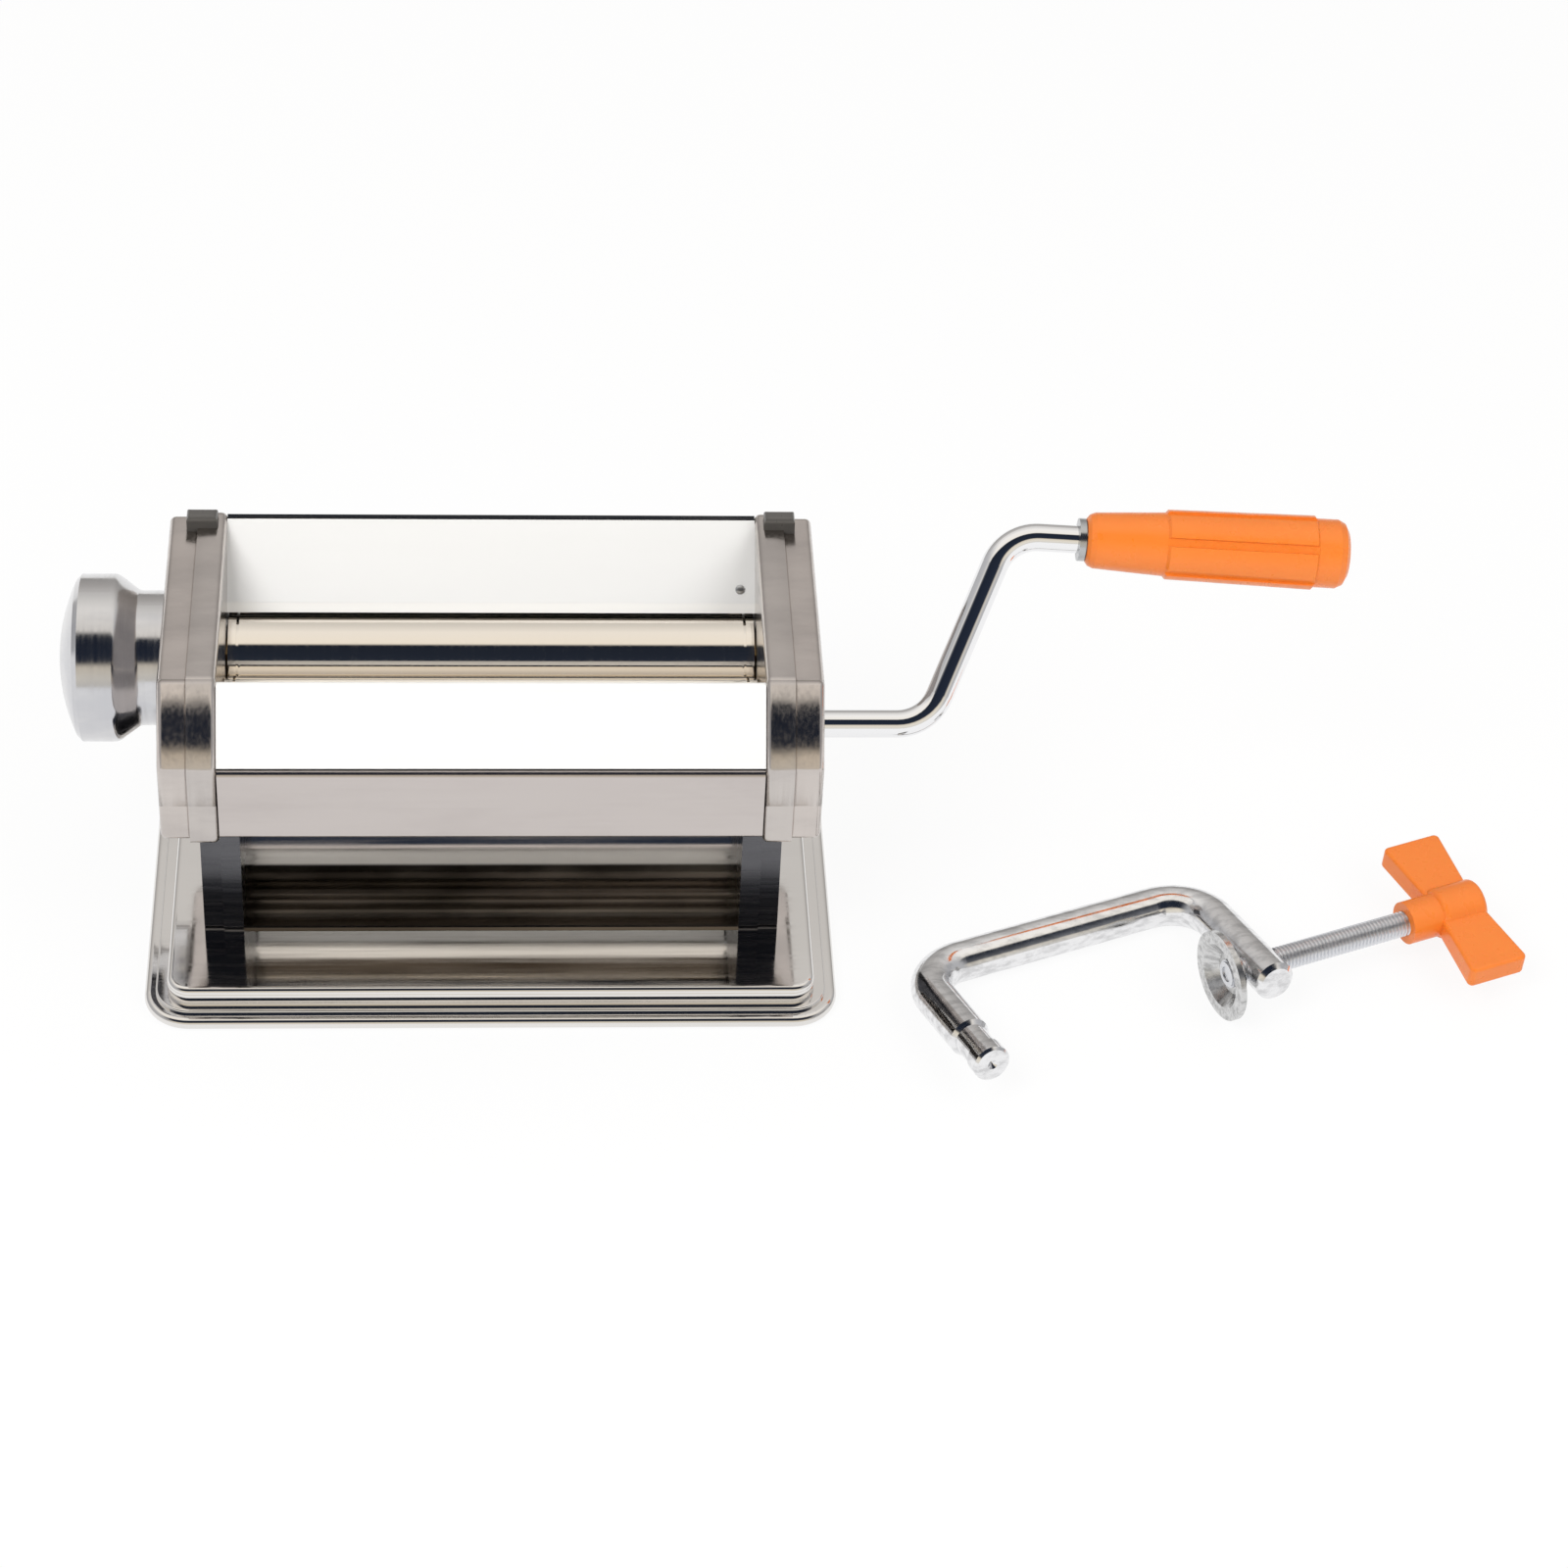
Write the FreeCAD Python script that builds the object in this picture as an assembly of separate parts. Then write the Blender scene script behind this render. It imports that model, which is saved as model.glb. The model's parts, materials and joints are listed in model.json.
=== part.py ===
"""Hand-cranked pasta roller machine with its loose table clamp, in millimetres.

X runs along the rollers towards the crank, Y runs from the front to the back and Z is up.
The origin is on the table, under the centre of the base.
"""
import math
import os

import FreeCAD
import Part

# Rollers
ROLLER_LENGTH = 159.0
ROLLER_DIA = 28.0
ROLLER_GAP = 2.5
ROLLER_BORE = 20.0
ROLLER_END_PLAY = 0.5
GROOVE_WIDTH = 0.8
GROOVE_DEPTH = 1.0
COLLAR_WIDTH = 2.4
AXIS_HEIGHT = 80.3

# Side housings
SHEET = 1.2
HOUSING_WIDTH = 17.3
FRAME_FLANGE = 8.6
COVER_OVERLAP = 3.0
EDGE_ROUND = 1.8
PROFILE_ROUND = 3.2
TOP_RISE = 36.3
TOP_FRONT = 38.0
TOP_BACK = 41.0
FACE_FRONT = 55.0
FACE_BACK = 57.0
SHOULDER_RISE = 15.3
FACE_DROP = 12.6
BELLY_CLEARANCE = 1.0
BELLY_REACH = 42.0
TAIL_DROP = 8.3

# Fits
RUNNING_CLEARANCE = 0.06
SEAT_CLEARANCE = 0.1
MOVING_CLEARANCE = 0.35

# Base
BASE_WIDTH = 211.0
BASE_DEPTH = 130.0
BASE_TOP = 10.5
BASE_CORNER = 14.0
BASE_BEAD = 4.0
BASE_LEDGE_INSET = 3.4
BASE_LEDGE_HEIGHT = 5.2
BASE_FLAT_INSET = 7.0
FOOT_DIA = 14.0
FOOT_INSET = 20.0

# Legs and lower sheets
LEG_INSET = 4.0
LEG_WIDTH = 12.0
LEG_DEPTH = 62.0
LEG_FLARE = 1.4
LEG_TAB_HEIGHT = 4.0
LEG_SCREW_DIA = 4.0
LEG_SCREW_HEAD = 7.0
LEG_SCREW_HEAD_THICK = 2.0
LEG_SCREW_LENGTH = 5.0
LEG_SCREW_SPREAD = 36.0
CHUTE_FRONT = 30.5
CHUTE_BACK = 21.0
CHUTE_GAP = 8.3
CHUTE_SAG = 8.0
SILL_Y = 28.5
SILL_HEIGHT = 24.0
SILL_FOOT = 8.0
SOCKET_BORE = 12.1
SOCKET_WALL = 1.8
SOCKET_LENGTH = 15.0
SOCKET_HEIGHT = 12.0

# Sheets between the housings
PANEL_INSET = 0.7
PANEL_FOLD = 1.2
FOLD_GAP = 1.0
LIP_REACH = 15.5
LIP_DROP = 17.6
SKIRT_RETURN = 6.0
HOPPER_TOP_GAP = 2.6
HOPPER_LOW_Y = 20.3
HOPPER_DROP = 18.6
HOPPER_TURN_Y = 1.6
HOPPER_TURN_Z = 2.6
SCRAPER_THICK = 0.8
SCRAPER_CLEAR = 0.35
SCRAPER_TAIL = 4.0
TIE_DIA = 6.0
TIE_HEAD_DIA = 10.0
TIE_HEAD_THICK = 3.0
TIE_LOW_Y = 46.0
TIE_LOW_DROP = 6.3
TIE_HIGH_Y = 44.5
TIE_HIGH_RISE = 17.7
LUG_WIDTH = 9.3
LUG_DEPTH = 5.0
LUG_RISE = 4.0
LUG_INSET = 2.6

# Shafts, bushes and gears
JOURNAL_DIA = 12.0
SHAFT_CORE_DIA = 10.0
PLUG_LENGTH = 12.0
BUSH_DIA = 17.0
BUSH_LENGTH = 6.0
BUSH_PLAY = 0.25
GEAR_TEETH = 22
GEAR_TIP_R = 15.9
GEAR_ROOT_R = 11.9
GEAR_FACE = 5.0
TOOTH_TIP = 0.9
TOOTH_ROOT = 1.7
HEX_FLATS = 7.0
HEX_DEPTH = 20.0
JOURNAL_RECESS = 2.0

# Thickness regulator
GAP_TRAVEL = 2.3
KNOB_DIA = 51.0
KNOB_NECK_DIA = 41.0
KNOB_LENGTH = 32.6
KNOB_RIM = 9.6
KNOB_CURVE = 9.0
KNOB_DOME = 5.4
KNOB_EDGE = 1.5
KNOB_STANDOFF = 0.8
KNOB_BORE_DEPTH = 22.0
SPINDLE_DIA = 10.0
CAM_DIA = 18.0
CAM_THICK = 4.4
ARM_THICK = 2.0
ARM_BOSS_R = 9.0
YOKE_WALL = 2.0
YOKE_DEPTH = 4.4
CARRIAGE_ROD_DIA = 6.0
CARRIAGE_ROD_Y = 37.0
CARRIAGE_ROD_RISE = 3.7

# Crank
CRANK_DIA = 8.5
CRANK_RUN = 34.0
CRANK_THROW = 57.0
CRANK_LEAN_X = 24.2
CRANK_LEAN_BACK = 42.0
CRANK_BEND = 14.0
CRANK_DROOP = 3.0
CRANK_TIP_PLAY = 0.2
HEX_CLEARANCE = 0.1
GRIP_START = 24.0
GRIP_LENGTH = 80.0
GRIP_NECK_DIA = 17.0
GRIP_MID_DIA = 21.2
GRIP_FULL_DIA = 22.6
GRIP_CAP_DIA = 21.0
GRIP_CAP_LENGTH = 10.0
GRIP_PAD_START = 24.0
GRIP_FLUTES = 6
GRIP_FLUTE_WIDTH = 2.4
GRIP_FLUTE_DEPTH = 0.9
GRIP_BORE_DEPTH = 68.0
COLLAR_DIA = 13.0
COLLAR_THICK = 2.0

# Table clamp in its own plane, before it is laid on the table
CLAMP_DIA = 12.8
CLAMP_SPAN = 96.5
CLAMP_ARM = 54.0
CLAMP_BEND = 15.0
PIN_NECK_DIA = 10.4
PIN_NECK_LENGTH = 10.0
PIN_COLLAR_DIA = 11.7
PIN_COLLAR_LENGTH = 6.0
PIN_SHOULDER = 1.2
ARM_END_CHAMFER = 1.4
SCREW_FROM_BACK = 43.0
SCREW_DIA = 7.9
SCREW_REACH = 69.0
PAD_DIA = 28.4
PAD_FLOOR_DIA = 15.0
PAD_THICK = 1.8
PAD_DISH = 3.6
PAD_GAP = 2.0
PAD_PLAY = 0.2
SWIVEL_DIA = 5.0
SWIVEL_HEAD_DIA = 9.0
SWIVEL_HEAD_THICK = 1.6
WING_SPAN = 57.0
WING_CHORD = 20.0
WING_THICK = 7.5
WING_WAIST = 3.0
WING_CORNER = 1.8
WING_EDGE = 1.2
HUB_DIA = 13.5
HUB_LENGTH = 7.5
WING_BULGE_DIA = 16.0
WING_BULGE_ROUND = 2.0
WING_ROLL = 14.0
CLAMP_X = 130.0
CLAMP_Y = -47.5
CLAMP_YAW = 21.0
TABLE_PLAY = 0.15

# Places that follow from the sizes above
AXIS_SPACING = ROLLER_DIA + ROLLER_GAP
FRONT_Y = -AXIS_SPACING / 2
REAR_Y = AXIS_SPACING / 2
ROLLER_R = ROLLER_DIA / 2
HALF_ROLLER = ROLLER_LENGTH / 2
INNER_X = HALF_ROLLER + ROLLER_END_PLAY
OUTER_X = INNER_X + HOUSING_WIDTH
FRAME_RIM_X = INNER_X + FRAME_FLANGE
COVER_WEB_X = OUTER_X - SHEET
CRANK_RUN_X = OUTER_X + CRANK_RUN
LEG_INNER_X = INNER_X - LEG_INSET
LEG_OUTER_X = LEG_INNER_X + LEG_WIDTH
BUSH_IN_X = INNER_X - BUSH_PLAY
BUSH_OUT_X = BUSH_IN_X + BUSH_LENGTH
ARM_IN_X = BUSH_OUT_X
ARM_OUT_X = ARM_IN_X + ARM_THICK
GEAR_IN_X = ARM_OUT_X + MOVING_CLEARANCE
GEAR_OUT_X = GEAR_IN_X + GEAR_FACE
SOCKET_END_X = COVER_WEB_X - JOURNAL_RECESS
ECCENTRIC = GAP_TRAVEL / 2
TOP_HEIGHT = AXIS_HEIGHT + TOP_RISE
SHOULDER_HEIGHT = AXIS_HEIGHT + SHOULDER_RISE
HOUSING_BOTTOM = AXIS_HEIGHT - FACE_DROP
BELLY_HEIGHT = AXIS_HEIGHT - GEAR_TIP_R - 2 * SHEET - BELLY_CLEARANCE
TAIL_HEIGHT = AXIS_HEIGHT - TAIL_DROP
CHUTE_RISE = AXIS_HEIGHT - ROLLER_R - CHUTE_GAP - BASE_TOP
CARRIAGE_ROD_Z = AXIS_HEIGHT + CARRIAGE_ROD_RISE
TIE_LOW = (TIE_LOW_Y, AXIS_HEIGHT - TIE_LOW_DROP)
TIE_HIGH = (TIE_HIGH_Y, AXIS_HEIGHT + TIE_HIGH_RISE)

# Outline of a side housing as (Y, Z), clockwise seen from the right-hand end
HOUSING_OUTLINE = [
    (-FACE_FRONT, HOUSING_BOTTOM),
    (-FACE_FRONT, SHOULDER_HEIGHT),
    (-TOP_FRONT, TOP_HEIGHT),
    (TOP_BACK, TOP_HEIGHT),
    (FACE_BACK, SHOULDER_HEIGHT),
    (FACE_BACK, TAIL_HEIGHT),
    (BELLY_REACH, BELLY_HEIGHT),
    (-BELLY_REACH, BELLY_HEIGHT),
]
TIE_PLACES = [(side * y, z) for y, z in (TIE_LOW, TIE_HIGH) for side in (-1, 1)]


def vec(x, y, z):
    """A point or a direction."""
    return FreeCAD.Vector(x, y, z)


ORIGIN = vec(0, 0, 0)
X_AXIS = vec(1, 0, 0)
Y_AXIS = vec(0, 1, 0)
Z_AXIS = vec(0, 0, 1)


def box(x0, x1, y0, y1, z0, z1):
    """A block between two corners."""
    return Part.makeBox(x1 - x0, y1 - y0, z1 - z0, vec(x0, y0, z0))


def rod_x(diameter, x0, x1, y, z):
    """A round bar along X."""
    return Part.makeCylinder(diameter / 2, x1 - x0, vec(x0, y, z), X_AXIS)


def mirrored(shape):
    """The same shape on the other side of the machine's middle plane."""
    return shape.mirror(ORIGIN, X_AXIS)


def cut_all(shape, tools):
    """A shape less several others."""
    for tool in tools:
        shape = shape.cut(tool)
    return shape


def joined(shape, others):
    """One clean solid from overlapping shapes."""
    return shape.fuse(others).removeSplitter()


def inset(points, distance):
    """A convex clockwise outline with each side moved inwards."""
    moved = []
    count = len(points)
    for i in range(count):
        here = points[i]
        before = points[i - 1]
        after = points[(i + 1) % count]
        first = vec(0, here[0] - before[0], here[1] - before[1]).normalize()
        second = vec(0, after[0] - here[0], after[1] - here[1]).normalize()
        normal_1 = vec(0, first.z, -first.y)
        normal_2 = vec(0, second.z, -second.y)
        shift = (normal_1 + normal_2) * (distance / (1 + normal_1.dot(normal_2)))
        moved.append((here[0] + shift.y, here[1] + shift.z))
    return moved


def corner_arc(before, here, after, radius):
    """The start, middle and end of the arc that rounds one corner."""
    to_before = (before - here).normalize()
    to_after = (after - here).normalize()
    half = to_before.getAngle(to_after) / 2
    reach = radius / math.tan(half)
    middle = here + (to_before + to_after).normalize() * (radius / math.sin(half) - radius)
    return here + to_before * reach, middle, here + to_after * reach


def rounded_loop(corners, radius):
    """A closed wire through corners, each rounded by an arc."""
    count = len(corners)
    arcs = [corner_arc(corners[i - 1], corners[i], corners[(i + 1) % count], radius) for i in range(count)]
    edges = []
    for i, (start, middle, end) in enumerate(arcs):
        edges.append(Part.Arc(start, middle, end).toShape())
        edges.append(Part.LineSegment(end, arcs[(i + 1) % count][0]).toShape())
    return Part.Wire(edges)


def rounded_path(points, radii):
    """The edges of an open line of straight runs joined by tangent arcs."""
    edges = []
    start = points[0]
    for before, here, after, radius in zip(points, points[1:], points[2:], radii):
        first, middle, last = corner_arc(before, here, after, radius)
        edges.append(Part.LineSegment(start, first).toShape())
        edges.append(Part.Arc(first, middle, last).toShape())
        start = last
    edges.append(Part.LineSegment(start, points[-1]).toShape())
    return edges


def profile_block(points, radius, x0, x1):
    """A rounded (Y, Z) outline carried along X."""
    wire = rounded_loop([vec(x0, y, z) for y, z in points], radius)
    return Part.Face(wire).extrude(vec(x1 - x0, 0, 0))


def edges_in_plane(shape, axis, value):
    """The edges of a shape that lie wholly in one plane of X or Z."""
    found = []
    for edge in shape.Edges:
        limits = edge.BoundBox
        low, high = (limits.XMin, limits.XMax) if axis == "x" else (limits.ZMin, limits.ZMax)
        if abs(low - value) < 1e-4 and abs(high - value) < 1e-4:
            found.append(edge)
    return found


def folded_sheet(points, x0, x1):
    """A sheet along X whose section follows (Y, Z) points, thickness to the left, folds rounded."""
    steps = [vec(0, b[0] - a[0], b[1] - a[1]).normalize() for a, b in zip(points, points[1:])]
    lefts = [vec(0, -s.z, s.y) for s in steps]
    near = [vec(x0, *p) for p in points]
    far = [near[0] + lefts[0] * SHEET]
    near_radii = []
    far_radii = []
    for i in range(1, len(points) - 1):
        spread = 1 + lefts[i - 1].dot(lefts[i])
        far.append(near[i] + (lefts[i - 1] + lefts[i]) * (SHEET / spread))
        turns_left = steps[i - 1].cross(steps[i]).x > 0
        near_radii.append(PANEL_FOLD + SHEET if turns_left else PANEL_FOLD)
        far_radii.append(PANEL_FOLD if turns_left else PANEL_FOLD + SHEET)
    far.append(near[-1] + lefts[-1] * SHEET)
    caps = [Part.LineSegment(near[i], far[i]).toShape() for i in (0, -1)]
    edges = rounded_path(near, near_radii) + rounded_path(far, far_radii) + caps
    outline = Part.Wire(Part.__sortEdges__(edges))
    return Part.Face(outline).extrude(vec(x1 - x0, 0, 0))


def turned(profile, origin, axis, across):
    """A solid of revolution from (distance along, radius) points joined by straight lines."""
    corners = [origin + axis * along + across * radius for along, radius in profile]
    return Part.Face(Part.makePolygon(corners + corners[:1])).revolve(origin, axis, 360)


def turned_x(profile, y, z):
    """A solid of revolution about a line along X, from (X, radius) points."""
    return turned(profile, vec(0, y, z), X_AXIS, Z_AXIS)


def hexagon_x(flats, x0, x1, y, z):
    """A six-sided bar along X."""
    reach = flats / math.sqrt(3)
    angles = [math.radians(60 * i) for i in range(7)]
    corners = [vec(x0, y + reach * math.cos(a), z + reach * math.sin(a)) for a in angles]
    return Part.Face(Part.makePolygon(corners)).extrude(vec(x1 - x0, 0, 0))


# Side shells
def sliding_slot(y, z, size):
    """A slot through a side web that lets a part of the rear roller's carriage move forwards."""
    half = size / 2
    front = y - half - GAP_TRAVEL - MOVING_CLEARANCE
    back = y + half + MOVING_CLEARANCE
    tall = half + RUNNING_CLEARANCE
    return box(INNER_X - SHEET, INNER_X + 2 * SHEET, front, back, z - tall, z + tall)


def side_frame():
    """Right inner shell: a pressed pan with a flange all round, open towards the outer cover."""
    shell = profile_block(HOUSING_OUTLINE, PROFILE_ROUND, INNER_X, FRAME_RIM_X)
    shell = shell.makeFillet(EDGE_ROUND, edges_in_plane(shell, "x", INNER_X))
    inner = inset(HOUSING_OUTLINE, SHEET)
    hollow = profile_block(inner, PROFILE_ROUND - SHEET, INNER_X + SHEET, FRAME_RIM_X)
    through = (INNER_X - SHEET, INNER_X + 2 * SHEET)
    holes = [rod_x(TIE_DIA + 2 * SEAT_CLEARANCE, *through, y, z) for y, z in TIE_PLACES]
    holes.append(rod_x(BUSH_DIA + 2 * SEAT_CLEARANCE, *through, FRONT_Y, AXIS_HEIGHT))
    holes.append(sliding_slot(REAR_Y, AXIS_HEIGHT, BUSH_DIA))
    holes.append(sliding_slot(CARRIAGE_ROD_Y, CARRIAGE_ROD_Z, CARRIAGE_ROD_DIA))
    holes.append(lug_block(SEAT_CLEARANCE))
    return cut_all(shell.cut(hollow), holes)


def outer_cover(hole_dia, hole_y):
    """Right outer shell, whose rim slides inside the inner shell's flange."""
    outline = inset(HOUSING_OUTLINE, SHEET + SEAT_CLEARANCE)
    rim_x = FRAME_RIM_X - COVER_OVERLAP
    round_out = PROFILE_ROUND - SHEET - SEAT_CLEARANCE
    shell = profile_block(outline, round_out, rim_x, OUTER_X)
    shell = shell.makeFillet(EDGE_ROUND, edges_in_plane(shell, "x", OUTER_X))
    hollow = profile_block(inset(outline, SHEET), round_out - SHEET, rim_x, COVER_WEB_X)
    hole = rod_x(hole_dia, COVER_WEB_X - SHEET, OUTER_X + SHEET, hole_y, AXIS_HEIGHT)
    return cut_all(shell.cut(hollow), [hole, lug_block(SEAT_CLEARANCE)])


def lug_block(grow):
    """One hook post standing through the top of a right housing, near its back edge."""
    left = INNER_X + LUG_INSET
    back = TOP_BACK - PROFILE_ROUND
    bottom = TOP_HEIGHT - 3 * SHEET - grow
    top = TOP_HEIGHT + LUG_RISE
    return box(left - grow, left + LUG_WIDTH + grow, back - LUG_DEPTH - grow, back + grow, bottom, top)


def accessory_lug():
    """Rounded hook post for a cutter head."""
    post = lug_block(0)
    return post.makeFillet(LUG_RISE * 0.4, edges_in_plane(post, "z", TOP_HEIGHT + LUG_RISE))


# Base and legs
def base_block(inset_by, top):
    """Rounded rectangular slab standing on the table."""
    half_x = BASE_WIDTH / 2 - inset_by
    half_y = BASE_DEPTH / 2 - inset_by
    corners = [vec(sx * half_x, sy * half_y, 0) for sx, sy in ((-1, -1), (1, -1), (1, 1), (-1, 1))]
    return Part.Face(rounded_loop(corners, BASE_CORNER - inset_by)).extrude(vec(0, 0, top))


def screw_places():
    """Where the base screws come up into the legs' feet."""
    x = LEG_INNER_X + LEG_WIDTH / 2
    return [(side * x, end * LEG_SCREW_SPREAD / 2) for side in (-1, 1) for end in (-1, 1)]


def screw_holes():
    """Clearance holes for the base screws."""
    radius = LEG_SCREW_DIA / 2 + SEAT_CLEARANCE
    return [Part.makeCylinder(radius, 2 * BASE_TOP, vec(x, y, 0)) for x, y in screw_places()]


def base_plate():
    """Pressed base: a beaded rim, a ledge and a raised flat, hollow underneath."""
    rim = base_block(0, BASE_BEAD)
    rim = rim.makeFillet(BASE_BEAD * 0.48, edges_in_plane(rim, "z", BASE_BEAD) + edges_in_plane(rim, "z", 0))
    ledge = base_block(BASE_LEDGE_INSET, BASE_LEDGE_HEIGHT)
    ledge = ledge.makeFillet(SHEET / 2, edges_in_plane(ledge, "z", BASE_LEDGE_HEIGHT))
    flat = base_block(BASE_FLAT_INSET, BASE_TOP)
    flat = flat.makeFillet(SHEET * 1.5, edges_in_plane(flat, "z", BASE_TOP))
    hollow = base_block(BASE_FLAT_INSET + SHEET, BASE_TOP - SHEET)
    return cut_all(joined(rim, [ledge, flat]), [hollow] + screw_holes())


def base_screws():
    """Screws from below that hold the legs on the base."""
    screws = []
    under = BASE_TOP - SHEET
    for x, y in screw_places():
        head_start = vec(x, y, under - LEG_SCREW_HEAD_THICK)
        head = Part.makeCylinder(LEG_SCREW_HEAD / 2, LEG_SCREW_HEAD_THICK, head_start)
        shank = Part.makeCylinder(LEG_SCREW_DIA / 2, LEG_SCREW_LENGTH, vec(x, y, under))
        screws.append(joined(head, [shank]))
    return Part.makeCompound(screws)


def rubber_feet():
    """Pads under the base's flat that stand on the table."""
    x = BASE_WIDTH / 2 - FOOT_INSET
    y = BASE_DEPTH / 2 - FOOT_INSET
    places = [vec(sx * x, sy * y, 0) for sx in (-1, 1) for sy in (-1, 1)]
    return Part.makeCompound([Part.makeCylinder(FOOT_DIA / 2, BASE_TOP - SHEET, place) for place in places])


def leg():
    """Right leg: a folded channel with a stepped edge and a tab up behind the inner shell."""
    top = LEG_DEPTH / 2 - LEG_FLARE
    foot = LEG_DEPTH / 2
    section = [(-foot, BASE_TOP), (-top, BELLY_HEIGHT), (top, BELLY_HEIGHT), (foot, BASE_TOP)]
    middle = LEG_INNER_X + LEG_WIDTH / 2
    inner = profile_block(section, SHEET, LEG_INNER_X, middle)
    outer_section = [(-foot + SHEET / 2, BASE_TOP), (-top + SHEET / 2, BELLY_HEIGHT)]
    outer_section += [(top - SHEET / 2, BELLY_HEIGHT), (foot - SHEET / 2, BASE_TOP)]
    outer = profile_block(outer_section, SHEET, middle, LEG_OUTER_X)
    hollow = profile_block(inset(section, SHEET * 1.6), SHEET / 2, LEG_INNER_X + SHEET, LEG_OUTER_X)
    tab_top = BELLY_HEIGHT + LEG_TAB_HEIGHT
    tab = box(INNER_X - SHEET, INNER_X, -top + SHEET, top - SHEET, BELLY_HEIGHT - SHEET, tab_top)
    return cut_all(joined(joined(inner, [outer]).cut(hollow), [tab]), screw_holes())


# Sheets between the housings
def front_panel():
    """Sloping front sheet with a lip folded down towards the front roller."""
    outline = inset(HOUSING_OUTLINE, PANEL_INSET)
    shoulder, top = outline[1], outline[2]
    lip = (top[0] + LIP_REACH, top[1] - LIP_DROP)
    slope = (top[1] - shoulder[1]) / (top[0] - shoulder[0])
    end = (shoulder[0] + FOLD_GAP / 2, shoulder[1] + slope * FOLD_GAP / 2)
    return folded_sheet([lip, top, end], -INNER_X, INNER_X)


def front_skirt():
    """Upright front sheet below the sloping one."""
    face = -FACE_FRONT + PANEL_INSET
    top = SHOULDER_HEIGHT - FOLD_GAP
    bottom = HOUSING_BOTTOM + PANEL_INSET
    points = [(face + SKIRT_RETURN, top), (face, top), (face, bottom), (face + SKIRT_RETURN, bottom)]
    return folded_sheet(points, -INNER_X, INNER_X)


def hopper_plate():
    """Rear feed slope from the top edge down to the rear roller."""
    top = (TOP_BACK - HOPPER_TOP_GAP, TOP_HEIGHT - PANEL_INSET)
    low = (HOPPER_LOW_Y, TOP_HEIGHT - HOPPER_DROP)
    turn = (low[0] - HOPPER_TURN_Y, low[1] - HOPPER_TURN_Z)
    return folded_sheet([top, low, turn], -INNER_X, INNER_X)


def rear_cover():
    """Rear sheet that closes the body between the housings."""
    face = FACE_BACK - PANEL_INSET
    bottom = TAIL_HEIGHT + PANEL_INSET
    top = inset(HOUSING_OUTLINE, PANEL_INSET)[3]
    points = [(face - SKIRT_RETURN, bottom), (face, bottom), (face, SHOULDER_HEIGHT), top]
    return folded_sheet(points, -INNER_X, INNER_X)


def chute_plate():
    """Curved slide that carries the rolled sheet out between the legs."""
    start = vec(-LEG_INNER_X, -CHUTE_FRONT, BASE_TOP)
    end = vec(-LEG_INNER_X, CHUTE_BACK, BASE_TOP + CHUTE_RISE)
    along = (end - start).normalize()
    below = vec(0, along.z, -along.y)
    middle = (start + end) * 0.5 + below * CHUTE_SAG
    arc = Part.Arc(start, middle, end).toShape()
    centre = arc.Curve.Center
    shrink = (arc.Curve.Radius - SHEET) / arc.Curve.Radius
    upper = [centre + (p - centre) * shrink for p in (start, middle, end)]
    edges = [arc, Part.LineSegment(end, upper[2]).toShape(), Part.Arc(*upper).toShape()]
    edges.append(Part.LineSegment(upper[0], start).toShape())
    face = Part.Face(Part.Wire(Part.__sortEdges__(edges)))
    sheet = face.extrude(vec(2 * LEG_INNER_X, 0, 0))
    return sheet.cut(box(-INNER_X, INNER_X, -FACE_FRONT, FACE_BACK, 0, BASE_TOP))


def socket_hollow(radius, start, length):
    """A round bar along Y at the height of the clamp socket."""
    return Part.makeCylinder(radius, length, vec(0, start, BASE_TOP + SOCKET_HEIGHT), Y_AXIS)


def rear_sill():
    """Upright angle between the legs at the back, which holds the clamp socket."""
    back = SILL_Y + SHEET
    wall = box(-LEG_INNER_X, LEG_INNER_X, SILL_Y, back, BASE_TOP, BASE_TOP + SILL_HEIGHT)
    foot = box(-LEG_INNER_X, LEG_INNER_X, SILL_Y - SILL_FOOT, back, BASE_TOP, BASE_TOP + SHEET)
    hole = socket_hollow(SOCKET_BORE / 2 + SOCKET_WALL, SILL_Y - SHEET, 4 * SHEET)
    return joined(wall, [foot]).cut(hole)


def clamp_socket():
    """Tube in the sill that takes the clamp's pin."""
    start = SILL_Y + 2 * SHEET - SOCKET_LENGTH
    outside = socket_hollow(SOCKET_BORE / 2 + SOCKET_WALL, start, SOCKET_LENGTH)
    return outside.cut(socket_hollow(SOCKET_BORE / 2, start, SOCKET_LENGTH))


def tie_rods():
    """Cross rods that hold the two side shells apart, with riveted heads."""
    rods = []
    shoulder = INNER_X + SHEET
    for y, z in TIE_PLACES:
        rod = rod_x(TIE_DIA, -shoulder, shoulder, y, z)
        starts = (shoulder, -shoulder - TIE_HEAD_THICK)
        heads = [rod_x(TIE_HEAD_DIA, x, x + TIE_HEAD_THICK, y, z) for x in starts]
        rods.append(joined(rod, heads))
    return Part.makeCompound(rods)


def scraper(side):
    """Blade under a cross rod that wipes one roller."""
    top = TIE_LOW[1] - TIE_DIA / 2
    reach = ROLLER_R + SCRAPER_CLEAR
    away = math.sqrt(reach ** 2 - (AXIS_HEIGHT - top) ** 2)
    tip = AXIS_SPACING / 2 + away
    tail = TIE_LOW[0] + SCRAPER_TAIL
    low, high = sorted((side * tip, side * tail))
    return box(-LEG_INNER_X, LEG_INNER_X, low, high, top - SCRAPER_THICK, top)


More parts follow.
